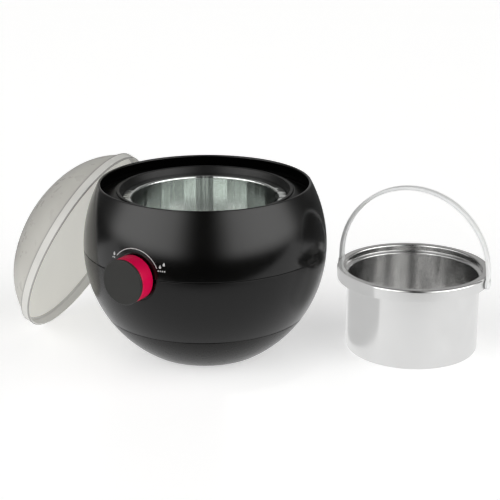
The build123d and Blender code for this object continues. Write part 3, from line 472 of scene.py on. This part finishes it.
# angles are taken from the knob's own direction, so the window is symmetrical
WINDOW_HALF = radians(15.0)
EDGE_R = RECESS_R + RECESS_EDGE
RECESS_HALF = atan2(EDGE_R, sqrt(WAIST_R ** 2 - EDGE_R ** 2))
INLET_BEARING = radians(450.0 - KNOB_AZIMUTH)
INLET_WINDOW = radians(12.0)


def casing_angles():
    """Angles about the axis with lines on the window's sides and the recess's edge."""
    inside = np.linspace(-RECESS_HALF, RECESS_HALF, 25)
    side = np.linspace(RECESS_HALF, WINDOW_HALF, 5)[1:]
    left = np.linspace(WINDOW_HALF, INLET_BEARING - INLET_WINDOW, 92)[1:]
    back = np.linspace(INLET_BEARING - INLET_WINDOW, INLET_BEARING + INLET_WINDOW, 19)[1:]
    right = np.linspace(INLET_BEARING + INLET_WINDOW, 2 * pi - WINDOW_HALF, 60)[1:-1]
    return list(np.concatenate((-side[::-1], inside, side, left, back, right)))


def pad_side(u, v, half_u, half_v, corner):
    """Distance of (u, v) outside a rounded rectangle; negative inside."""
    du, dv = abs(u) - half_u + corner, abs(v) - half_v + corner
    return sqrt(max(du, 0) ** 2 + max(dv, 0) ** 2) + min(max(du, dv), 0) - corner


def on_outline(u, v, half_u, half_v, corner):
    """Point of a rounded rectangle's outline in the direction of (u, v)."""
    near, far = 0.0, 3.0
    for _ in range(40):
        middle = (near + far) / 2
        if pad_side(u * middle, v * middle, half_u, half_v, corner) > 0:
            far = middle
        else:
            near = middle
    return u * near, v * near


def inlet_pad(border):
    """Skin round the power inlet's flat pad, the pad's sides and its face, inside a border.

    The border is a closed run of (angle, height) on the skin."""
    turn = np.array(Matrix.Rotation(INLET_BEARING, 3, "Z"))
    half_u, half_v = INLET_PAD_HALF
    co, no, faces = [], [], []
    steps = 4
    for a, z in border:
        u, v = casing_r(z) * sin(a - INLET_BEARING), z - INLET_Z
        edge_u, edge_v = on_outline(u, v, half_u, half_v, 3.0)
        for s in range(steps + 1):
            su, sv = u + (edge_u - u) * s / steps, v + (edge_v - v) * s / steps
            point = np.array((sqrt(casing_r(INLET_Z + sv) ** 2 - su ** 2), su, INLET_Z + sv))
            co.append(turn @ point)
            no.append(turn @ skin_normal(point))
        proud = 1 if INLET_PAD_FACE > point[0] else -1
        near_u, near_v = on_outline(edge_u, edge_v, half_u - 1.0, half_v - 1.0, 2.0)
        side = proud * unit(np.array((0, edge_u - near_u, edge_v - near_v)))
        slot_u, slot_v = on_outline(edge_u, edge_v, *INLET_SLOT_HALF, 6.4)
        forward = np.array((1.0, 0, 0))
        rows = [(point[0], edge_u, edge_v, side), (INLET_PAD_FACE, edge_u, edge_v, side),
                (INLET_PAD_FACE, edge_u, edge_v, forward), (INLET_PAD_FACE, slot_u, slot_v, forward)]
        for depth, ru, rv, normal in rows:
            co.append(turn @ np.array((depth, ru, INLET_Z + rv)))
            no.append(turn @ normal)
    width = steps + 5
    count = len(border)
    for b in range(count):
        c = (b + 1) % count
        for s in [k for k in range(width - 1) if k not in (steps, steps + 2)]:
            quad = [b * width + s, b * width + s + 1, c * width + s + 1, c * width + s]
            flat = np.cross(co[quad[2]] - co[quad[0]], co[quad[3]] - co[quad[1]])
            faces.append(tuple(quad) if flat @ no[quad[1]] > 0 else tuple(quad[::-1]))
    return np.array(co), np.array(no), faces


def skin_rows(places):
    """Rows of an outline that lie on the casing's outer skin."""
    return [i for i, (r, z) in enumerate(places) if abs(r - casing_r(z)) < 0.02]


def knob_window(places, upward):
    """Skin rows of the opening that the knob's recess needs in one shell, from the seam outwards."""
    near, far = CASING_WINDOW
    seam = SEAM_Z[1] + near if upward else SEAM_Z[0] - near
    reach = WAIST_Z + far if upward else WAIST_Z - far
    low_z, high_z = min(seam, reach), max(seam, reach)
    rows = [i for i in skin_rows(places) if low_z - 0.3 <= places[i][1] <= high_z]
    rows.sort(key=lambda i: abs(places[i][1] - WAIST_Z))
    return rows


def inlet_border(places, angles, pad_rows, pad_columns):
    """Closed run of (angle, height) round the opening that the inlet's pad fills."""
    heights = [places[i][1] for i in sorted(pad_rows, key=lambda i: places[i][1])]
    across = [angles[j] for j in pad_columns]
    border = [(a, heights[0]) for a in across] + [(across[-1], z) for z in heights[1:]]
    border += [(a, heights[-1]) for a in across[-2::-1]] + [(across[0], z) for z in heights[-2:0:-1]]
    return border


def recess_patch(border, upward):
    """Skin from the opening's border to the recess's circle, then the recess's side and floor."""
    sign = 1 if upward else -1
    bearings = [atan2(sign * (z - WAIST_Z), casing_r(z) * sin(a)) for a, z in border]
    first, last = bearings[0], bearings[-1]
    start = atan2(abs(border[0][1] - WAIST_Z), EDGE_R)
    steps = 8
    facing = np.array((1.0, 0, 0))
    side = ((RECESS_R + 0.12, -0.05, 0.5), (RECESS_R, 0.03, 0.6), (RECESS_R - 0.15, 0.0, 0.0),
            (SHAFT_HOLE_R, 0.0, 0.0))
    co, no, faces = [], [], []
    for (a, z), bearing in zip(border, bearings):
        phi = start + (pi - 2 * start) * (bearing - first) / (last - first)
        ring_z = WAIST_Z + sign * EDGE_R * sin(phi)
        ring_a = atan2(EDGE_R * cos(phi), sqrt(casing_r(ring_z) ** 2 - (EDGE_R * cos(phi)) ** 2))
        for s in range(steps + 1):
            t = s / steps
            zz, aa = z + (ring_z - z) * t, a + (ring_a - a) * t
            r = casing_r(zz)
            p = np.array((r * cos(aa), r * sin(aa), zz))
            co.append(p)
            no.append(skin_normal(p))
        radial = np.array((0, cos(phi), sign * sin(phi)))
        for radius, lift, mix in side:
            u, v = radius * cos(phi), sign * radius * sin(phi)
            depth = skin_point(u, v)[0] + lift if radius > RECESS_R else RECESS_FLOOR + lift
            co.append(np.array((depth, u, WAIST_Z + v)))
            no.append(unit(facing * (1 - mix) - radial * mix))
    width = steps + 1 + len(side)
    for b in range(len(border) - 1):
        for s in range(width - 1):
            quad = (b * width + s, b * width + s + 1, (b + 1) * width + s + 1, (b + 1) * width + s)
            faces.append(quad[::-1] if upward else quad)
    return np.array(co), np.array(no), faces


def recessed_shell(corners, upward):
    """Turned shell with a half-round opening at its seam for the knob's recess, patched to the circle.

    The lower shell also gets the power inlet's pad."""
    outline = rounded(corners, closed=True, steps=4)
    places = outline[0]
    angles = casing_angles()
    rows = knob_window(places, upward)
    seam_row = rows[0]
    columns = [j for j, a in enumerate(angles) if abs(a) <= WINDOW_HALF + 1e-6]
    in_recess = [j for j, a in enumerate(angles) if abs(a) <= RECESS_HALF + 1e-6]
    pad_columns = [j for j, a in enumerate(angles) if abs(a - INLET_BEARING) <= INLET_WINDOW + 1e-6]
    pad_reach = INLET_PAD_HALF[1] + 3.5
    pad_rows = []
    if not upward:
        pad_rows = [i for i in skin_rows(places) if abs(places[i][1] - INLET_Z) < pad_reach]
    total = len(places)

    def keep(i, j):
        k = (i + 1) % total
        in_patch = {i, k} <= set(rows) and j in columns[:-1]
        mid_r = (places[i][0] + places[k][0]) / 2
        mid_z = (places[i][1] + places[k][1]) / 2
        at_seam = abs(mid_z - WAIST_Z) < abs(places[seam_row][1] - WAIST_Z) and mid_r > 80
        at_inlet = {i, k} <= set(pad_rows) and j in pad_columns[:-1]
        return not in_patch and not at_inlet and not (at_seam and j in in_recess[:-1])

    z_rows = [places[i][1] for i in rows]
    border = [(angles[columns[-1]], z) for z in z_rows]
    border += [(angles[j], z_rows[-1]) for j in columns[::-1][1:-1]]
    border += [(angles[columns[0]], z) for z in z_rows[::-1]]
    parts = [lathe(outline, angles, closed=True, keep=keep), recess_patch(border, upward)]
    if pad_rows:
        parts.append(inlet_pad(inlet_border(places, angles, pad_rows, pad_columns)))
    return joined(*parts)


TURN_TO_KNOB = Matrix.Rotation(radians(KNOB_AZIMUTH), 4, "Z")


def upper_housing():
    seam, top = SEAM_Z[1], RIM_TOP_Z
    corners = [(casing_r(seam, WALL), seam, 0.15), (casing_r(seam), seam, SEAM_EDGE_R)]
    corners += skin_run(seam, top)
    corners += [(casing_r(top), top, 1.0), (casing_r(top, WALL), top, 1.0)]
    corners += skin_run(top, seam, WALL)
    part = recessed_shell(corners, True)
    piece("upper_shell", part, "heater", casing_gloss, ["upper_housing"], TURN_TO_KNOB)


def middle_housing():
    top, bottom = SEAM_Z[0], BASE_SEAM_Z
    tongue_r = casing_r(top, WALL) - 0.2
    corners = [(casing_r(bottom, WALL), bottom, 0.15), (casing_r(bottom), bottom, 0.4)]
    corners += skin_run(bottom, top)
    corners += [(casing_r(top), top, SEAM_EDGE_R), (tongue_r, top, 0.1), (tongue_r, top + SPIGOT_RISE, 0.2),
                (tongue_r - SPIGOT_T, top + SPIGOT_RISE, 0.2), (tongue_r - SPIGOT_T, top - 7.0, 0.2)]
    corners += skin_run(top - 9.5, bottom, WALL)
    part = recessed_shell(corners, False)
    piece("middle_shell", part, "heater", casing_satin, ["middle_housing"], TURN_TO_KNOB)


# ---------------------------------------------------------------- collar and well
def top_collar():
    outer = casing_r(GUTTER_Z, WALL + 0.1)
    seat = FLANGE_TOP_Z - WELL_T
    corners = [
        (casing_r(COLLAR_FOOT_Z, WALL + 2.5), COLLAR_FOOT_Z, 0.2),
        (casing_r(COLLAR_FOOT_Z, WALL + 0.1), COLLAR_FOOT_Z, 0.2),
        (outer, GUTTER_Z, 0.3),
        (outer - 2.6, GUTTER_Z, 0.6),
        (66.2, 123.1, 0.25),
        (65.05, 123.1, 0.25),
        (64.9, LIP_Z, 0.5),
        (62.5, LIP_Z, 0.7),
        (61.0, 119.4, 0.8),
        (FLANGE_R + 0.3, seat, 0.1),
        (56.6, seat, 0.2),
        (56.6, seat - 2.4, 0.2),
        (63.4, seat - 2.4, 0.3),
        (outer - 3.0, 115.0, 0.5),
    ]
    part = lathe(rounded(corners, closed=True), circle(200), closed=True)
    piece("collar", part, "heater", collar_plastic, ["top_collar"])


def heating_well():
    inner, outer, floor = WELL_R, WELL_R + WELL_T, WELL_FLOOR_Z
    below, under, raised = floor - WELL_T, FLANGE_TOP_Z - WELL_T, floor + 1.4
    corners = [(0, raised - WELL_T), (34.0, raised - WELL_T, 1.2), (36.5, below, 1.2),
               (outer, below, 6.0), (outer, under, 0.3), (FLANGE_R, under, 0.3),
               (FLANGE_R, FLANGE_TOP_Z, 0.6), (inner, FLANGE_TOP_Z, 1.6)]
    corners += [(inner, 116.0 - 4 * i) for i in range(12)]
    corners += [(inner, floor, 4.6), (37.6, floor, 1.6), (35.0, raised, 1.6)]
    corners += [(35.0 - 3 * i, raised) for i in range(2, 11)] + [(0, raised)]
    part = lathe(rounded(corners, steps=8), circle(220))
    piece("well", part, "heater", well_aluminium, ["heating_well"])


# ---------------------------------------------------------------- knob
KNOB_POSE = (Matrix.Translation((0, 0, WAIST_Z)) @ TURN_TO_KNOB @ Matrix.Rotation(radians(90), 4, "Y"))


def knob():
    back, front, r = KNOB_BACK, KNOB_FRONT, KNOB_R
    side = [(r, back + 2.0 + 1.6 * i) for i in range(6)]
    corners = [(r - 2.0, back, 0.3), (r, back, 0.8)] + side
    corners += [(r, front, 0.8), (4.2, front, 0.2), (4.2, front - 2.4, 0.2), (r - 2.0, front - 2.4, 0.5)]
    part = lathe(rounded(corners, closed=True), circle(144), closed=True)
    piece("knob_grip", part, "heat_knob", knob_pink, ["knob"], KNOB_POSE)


def knob_cap():
    back, r, front = KNOB_FRONT, CAP_R, CAP_FRONT
    corners = [(0, back - 1.4), (4.0, back - 1.4, 0.1), (4.0, back, 0.1), (15.0, back, 0.1),
               (15.0, back + 0.6, 0.1), (r, back + 0.6, 0.25), (r, front, 0.7), (13.0, front - 0.05),
               (8.0, front - 0.08), (0, front - 0.1)]
    part = lathe(rounded(corners), circle(144))
    piece("knob_disc", part, "heat_knob", cap_plastic, ["knob_cap"], KNOB_POSE)


def printed(name, loops):
    """Thin printed marks on the casing beside the knob, from outlines in (u, v)."""
    parts = []
    for loop in loops:
        ink, under = [], []
        for u, v in loop:
            p = skin_point(u, v)
            n = skin_normal(p)
            ink.append(p + n * 0.03)
            under.append(n)
        middle = np.mean(ink, axis=0)
        co = np.array(ink + [middle])
        no = np.array(under + [unit(np.mean(under, axis=0))])
        count = len(ink)
        faces = [(i, (i + 1) % count, count) for i in range(count)]
        if np.cross(co[1] - co[0], co[2] - co[1]) @ no[0] < 0:
            faces = [f[::-1] for f in faces]
        parts.append((co, no, faces))
    piece(name, joined(*parts), "heater", print_ink, (), TURN_TO_KNOB)


def arc_strip(radius, width, first, last, steps):
    loops = []
    for i in range(steps):
        a = [radians(first + (last - first) * (i + k) / steps) for k in (0, 1)]
        edge = [radius - width / 2, radius + width / 2]
        loops.append([(edge[0] * cos(a[0]), edge[0] * sin(a[0])), (edge[1] * cos(a[0]), edge[1] * sin(a[0])),
                      (edge[1] * cos(a[1]), edge[1] * sin(a[1])), (edge[0] * cos(a[1]), edge[0] * sin(a[1]))])
    return loops


def flame(u, v, size):
    """Small flame outline standing at (u, v)."""
    shape = [(0.0, -1.0), (0.42, -0.85), (0.6, -0.4), (0.5, 0.05), (0.25, 0.4), (0.1, 1.0), (-0.2, 0.5),
             (-0.5, 0.1), (-0.6, -0.4), (-0.42, -0.85)]
    return [(u + size * x, v + size * y) for x, y in shape]


def dash(u, v, length, height):
    left, right = u - length / 2, u + length / 2
    low, high = v - height / 2, v + height / 2
    return [(left, low), (right, low), (right, high), (left, high)]


def scale_marks():
    printed("scale_arc", arc_strip(20.1, 0.5, 26, 141, 60))
    marks = [flame(-18.2, 13.6, 1.5), flame(20.4, 10.3, 1.4), flame(23.0, 12.2, 1.4)]
    marks += [dash(-19.4 + 1.5 * i, 10.8, 0.9, 0.9) for i in range(2)]
    marks += [dash(19.2 + 1.5 * i, 7.2, 0.9, 0.9) for i in range(4)]
    printed("scale_marks", marks)


# ---------------------------------------------------------------- bucket and bail
BUCKET_POSE = Matrix.Translation((*BUCKET_AT, 0))
BAIL_POSE = Matrix.Translation((*BUCKET_AT, BAIL_PIVOT_Z)) @ Matrix.Rotation(radians(BAIL_BEARING), 4, "Z")


def bucket():
    r, t, top, rim, mouth = BUCKET_R, BUCKET_T, BUCKET_H, BUCKET_RIM_R, BUCKET_MOUTH_R
    band = top - 5.0
    dimple, foot, rise = 32.4, 35.2, 1.2
    corners = [(0, rise), (dimple, rise, 1.4), (foot, 0.0, 1.4), (r, 0, 3.6)]
    corners += [(r, 6.0 + 4.0 * i) for i in range(12)]
    corners += [(r, band - 1.4, 0.8), (mouth + t, band, 0.5), (mouth + t, top - t, 0.2),
                (rim - t, top - t, 1.0), (rim - t, top - BUCKET_SKIRT, 0.4), (rim, top - BUCKET_SKIRT, 0.45)]
    corners += [(rim, top - 7.5 + 1.5 * i) for i in range(4)]
    corners += [(rim, top, 1.6), (mouth, top, 1.3), (mouth, band + 0.2, 0.6), (r - t, band - 1.0, 0.8)]
    corners += [(r - t, band - 4.0 - 4.0 * i) for i in range(12)]
    corners += [(r - t, t, 2.6), (foot, t, 1.4), (dimple, t + rise, 1.4)]
    corners += [(30.0 - 3 * i, t + rise) for i in range(10)] + [(0, t + rise)]
    part = lathe(rounded(corners, steps=8), circle(260))
    piece("bucket_body", part, "wax_bucket", bucket_aluminium, ["bucket"], BUCKET_POSE)


def strap(route, normals, half_t, half_w, corner=0.7, steps=3):
    """Rounded-rectangle section carried along a route in the x-z plane."""
    section = []
    for sx, sy, a0 in ((1, 1, 0), (-1, 1, 90), (-1, -1, 180), (1, -1, 270)):
        for k in range(steps + 1):
            a = radians(a0 + 90 * k / steps)
            across = sx * (half_t - corner) + corner * cos(a)
            along = sy * (half_w - corner) + corner * sin(a)
            section.append(((across, along), (cos(a), sin(a))))
    co, no, faces = [], [], []
    count = len(section)
    for (x, z), (nx, nz) in zip(route, normals):
        for (across, along), (na, nb) in section:
            co.append((x + nx * across, along, z + nz * across))
            no.append((nx * na, nb, nz * na))
    for i in range(len(route) - 1):
        for j in range(count):
            m = (j + 1) % count
            faces.append((i * count + j, i * count + m, (i + 1) * count + m, (i + 1) * count + j))
    return np.array(co), np.array(no), faces


def bail():
    inner, thickness, leg = BAIL_R, BAIL_T, BAIL_LEG
    middle = inner + thickness / 2
    route, normals = [], []
    for k in range(5):
        route.append((middle, leg * k / 5))
        normals.append((1.0, 0.0))
    for k in range(91):
        a = pi * k / 90
        route.append((middle * cos(a), leg + middle * sin(a)))
        normals.append((cos(a), sin(a)))
    for k in range(4, -1, -1):
        route.append((-middle, leg * k / 5))
        normals.append((-1.0, 0.0))
    parts = [strap(route, normals, thickness / 2, BAIL_HALF_WIDTH)]
    skirt = BUCKET_RIM_R - BUCKET_T
    cap = inner + thickness
    for side in (1, -1):
        corners = [(0, skirt - 1.3), (2.9, skirt - 1.3, 0.3), (2.9, skirt - 0.3, 0.2),
                   (1.9, skirt - 0.3, 0.1), (1.9, inner, 0.1), (4.4, inner, 0.4), (4.4, cap, 0.8),
                   (1.6, cap, 0.2), (1.4, cap - 0.25, 0.2), (0, cap - 0.25)]
        eye = lathe(rounded(corners, steps=4), circle(48))
        parts.append(placed(eye, Matrix.Rotation(radians(90 * side), 4, "Y")))
    piece("bail_strap", joined(*parts), "bail", bail_plastic, ["bucket_bail"], BAIL_POSE)


# ---------------------------------------------------------------- lid
def tangent_arc(start, direction, end, count):
    """Points inside the arc that leaves start along direction and reaches end."""
    start, end, direction = np.array(start), np.array(end), unit(np.array(direction))
    normal = np.array((-direction[1], direction[0]))
    chord = end - start
    radius = chord @ chord / (2 * normal @ chord)
    centre = start + normal * radius
    a0 = atan2(*(start - centre)[::-1])
    a1 = atan2(*(end - centre)[::-1])
    turns = np.linspace(a0, a1, count + 2)[1:-1]
    return [tuple(centre + abs(radius) * np.array((cos(a), sin(a)))) for a in turns]


def dome(reach, count=22):
    """Dome outline from its base up to the apex, reach inside the outer face."""
    crown = LID_CROWN_R - reach
    centre = LID_HEIGHT - LID_CROWN_R
    join = radians(LID_JOIN)
    turns = [join * i / count for i in range(count + 1)]
    crown_run = [(crown * sin(a), centre + crown * cos(a)) for a in turns]
    base = (LID_R - LID_T - reach, LID_BAND)
    corner = tangent_arc(crown_run[-1], (cos(join), -sin(join)), base, 12)
    return [base] + corner[::-1] + crown_run[::-1]


def lid():
    outer, inner = dome(0), dome(LID_T)
    rim_r, lip_r, band = LID_R, LID_R - LID_T, LID_BAND
    corners = inner[::-1][:-1]
    corners += [(*inner[0], 0.5), (lip_r, band - LID_T, 0.5), (lip_r, 0, 0.35), (rim_r, 0, 0.5)]
    corners += [(rim_r, LID_SHADE_LINE), (rim_r, band - LID_SHADE_LINE), (rim_r, band, 0.4), (*outer[0], 0.3)]
    corners += outer[1:]
    outline = rounded(corners)
    columns = 220
    part = lathe(outline, circle(columns))
    # zones: 0 outer dome; 1 inside and 2 rim band, with painted light; 3 painted shade lines at the step and
    # the mouth
    zones = []
    for (r0, z0), (r1, z1) in zip(outline[0], outline[0][1:]):
        r, z = (r0 + r1) / 2, (z0 + z1) / 2
        zone = 0
        if z < band and r > lip_r - 2.0:
            zone = 2
        elif len(zones) < columns * len(inner):
            zone = 1
        # painted shade lines at the band's step and along the mouth's edge
        shade_at_step = r > lip_r - 0.4 and band - LID_SHADE_LINE < z < band + 0.8
        shade_at_mouth = r > rim_r - 0.6 and z < LID_SHADE_LINE
        if shade_at_step or shade_at_mouth:
            zone = 3
        zones += [zone] * columns
    finishes = [lid_plastic, lid_inside_painted_light, lid_rim_painted_light, lid_edge_painted_shade]
    piece("lid_shell", part, "pot_lid", finishes, ["lid"], lid_pose(), zones)


# ---------------------------------------------------------------- CAD nodes kept as they are
def dress_cad_nodes():
    """Procedural finishes for the nodes whose CAD shape is shown as it is."""
    kept = {
        "base_plastic": ["base_cover"],
        "foot_rubber": ["rubber_feet"],
        "heater_steel": ["heater_band"],
        "plated_steel": ["clamp_screw", "clamp_nut", "tie_rods", "tie_rod_nuts", "spider_plate", "fuse_clip",
                         "thermostat_bracket", "thermostat_nut", "block_screw", "base_screws", "leg_screws",
                         "bracket_screws"],
        "glass_fibre": ["lagging"],
        "fuse_sleeve": ["thermal_fuse"],
        "steatite": ["thermostat", "terminal_block"],
        "bridge_aluminium": ["thermostat_bridge"],
        "inlet_plastic": ["power_inlet", "knob_shaft"],
        "brass": ["inlet_pins"],
        "lead_brown": ["inlet_lead_live"],
        "lead_blue": ["inlet_lead_neutral"],
        "lead_white": ["thermostat_lead", "heater_lead", "fuse_lead", "return_lead"],
    }
    for slot, names in kept.items():
        for name in names:
            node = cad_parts[name]
            node.data.materials.clear()
            node.data.materials.append(FINISHES[slot])


# ---------------------------------------------------------------- stage and light
def stage_material(name):
    material = bpy.data.materials.new(name)
    material.use_nodes = True
    return material, Nodes(material.node_tree)


def show_emission(material, n, strength, clear_side=None):
    """White glow as the material's surface, clear where clear_side is 1."""
    surface = n.add("ShaderNodeEmission", {"Color": (1, 1, 1, 1), "Strength": strength})
    if clear_side is not None:
        clear = n.add("ShaderNodeBsdfTransparent")
        surface = n.add("ShaderNodeMixShader", {0: clear_side, 1: surface.outputs[0], 2: clear.outputs[0]})
    connect(n, surface.outputs[0], material.node_tree.nodes["Material Output"], "Surface")


def stage_mesh(name, verts, faces, material, seen_by):
    mesh = bpy.data.meshes.new(name)
    mesh.from_pydata(verts, [], faces)
    mesh.materials.append(material)
    obj = bpy.data.objects.new(name, mesh)
    bpy.context.scene.collection.objects.link(obj)
    for kind in ("camera", "diffuse", "glossy", "transmission", "volume_scatter", "shadow"):
        setattr(obj, "visible_" + kind, kind in seen_by)


def square(reach, z):
    return [(-reach, -reach, z), (reach, -reach, z), (reach, reach, z), (-reach, reach, z)]


def make_floor():
    material, n, shader, place = new_material("floor_white")
    tone = n.blend(n.noise(place, 3.0, 3.0), (0.80, 0.80, 0.80, 1), (0.82, 0.82, 0.82, 1))
    connect(n, tone, shader, "Base Color")
    shader.inputs["Roughness"].default_value = 0.30
    shader.inputs["Specular IOR Level"].default_value = 0.10
    shader.inputs["Emission Color"].default_value = (1, 1, 1, 1)
    shader.inputs["Emission Strength"].default_value = 0.50
    seen = ("camera", "diffuse", "transmission", "shadow")
    stage_mesh("floor", square(FLOOR_REACH, 0), [(0, 1, 2, 3)], material, seen)


def make_reflected_floor():
    """What polished surfaces see of the table: bright around the set, dark in front and far behind."""
    material, n = stage_material("reflected_floor")
    place = n.add("ShaderNodeTexCoord").outputs["Object"]
    depth = n.add("ShaderNodeSeparateXYZ", {0: place}).outputs[1]
    edge = AXIS.y - DARK_FLOOR_FRONT
    near = n.span(depth, edge - 0.012, edge + 0.012, 0.02, 0.88, smooth=True)
    far_start, far_end = DARK_FLOOR_BACK
    far = n.span(depth, AXIS.y + far_start, AXIS.y + far_end, 1.0, 0.10, smooth=True)
    show_emission(material, n, n.math("MULTIPLY", near, far))
    stage_mesh("reflected_floor", square(FLOOR_REACH, -0.001), [(0, 1, 2, 3)], material, ("glossy",))


def make_backdrop():
    """White surround that only the camera sees."""
    count = 48
    ring_points = [(BACKDROP_R * cos(a), BACKDROP_R * sin(a)) for a in circle(count)]
    verts = [(x, y, z) for z in (-0.5, BACKDROP_TOP) for x, y in ring_points]
    faces = [(i, (i + 1) % count, (i + 1) % count + count, i + count) for i in range(count)]
    faces.append(tuple(range(count, 2 * count)))
    material, n = stage_material("backdrop_white")
    show_emission(material, n, 1.05)
    stage_mesh("backdrop", verts, faces, material, ("camera",))


def make_side_card():
    """One-sided bright card that the bucket mirrors in place of the heater."""
    material, n = stage_material("side_card")
    show_emission(material, n, 0.62, n.add("ShaderNodeNewGeometry").outputs["Backfacing"])
    columns = 24
    turns = [radians(-80 + 150 * i / columns) for i in range(columns + 1)]
    verts = [(AXIS.x + CARD_R * cos(a), AXIS.y + CARD_R * sin(a), z) for z in CARD_Z for a in turns]
    count = columns + 1
    faces = [(i, i + 1, count + i + 1, count + i) for i in range(columns)]
    stage_mesh("side_card", verts, faces, material, ("glossy",))


def make_world():
    """Two broad soft lights at the front left and right, and a dim room in front and behind."""
    world = bpy.data.worlds.new("studio")
    world.use_nodes = True
    bpy.context.scene.world = world
    n = Nodes(world.node_tree)
    direction = n.add("ShaderNodeTexCoord").outputs["Generated"]
    x, y, z = n.add("ShaderNodeSeparateXYZ", {0: direction}).outputs
    turn = n.math("ARCTAN2", n.math("ABSOLUTE", x), n.math("MULTIPLY", y, -1.0))
    flat = n.math("DIVIDE", turn, pi)
    ramp = n.add("ShaderNodeValToRGB", {0: flat})
    stops = [(0, 0.02), (14, 0.03), (30, 0.85), (60, 1.0), (88, 0.9), (104, 0.04), (132, 0.04),
             (150, 0.13), (180, 0.15)]
    ramp.color_ramp.interpolation = "B_SPLINE"
    for i, (degree, value) in enumerate(stops):
        if i < 2:
            stop = ramp.color_ramp.elements[i]
            stop.position = degree / 180
        else:
            stop = ramp.color_ramp.elements.new(degree / 180)
        stop.color = (value, value, value, 1)
    side_light = n.math("MULTIPLY", ramp.outputs[0], 2.6)
    up_to = n.span(z, 0.55, 0.85, 1.0, 0.22, smooth=True)
    from_low = n.span(z, -0.05, 0.12, 0.25, 1.0, smooth=True)
    strength = n.math("MULTIPLY", n.math("MULTIPLY", side_light, up_to), from_low)
    background = world.node_tree.nodes["Background"]
    connect(n, strength, background, "Strength")
    background.inputs["Color"].default_value = (1.0, 0.995, 0.985, 1)


make_camera()
upper_housing()
middle_housing()
top_collar()
heating_well()
knob()
knob_cap()
scale_marks()
bucket()
bail()
lid()
dress_cad_nodes()
make_floor()
make_backdrop()
make_reflected_floor()
make_side_card()
make_world()
bpy.context.scene.view_settings.view_transform = "Standard"
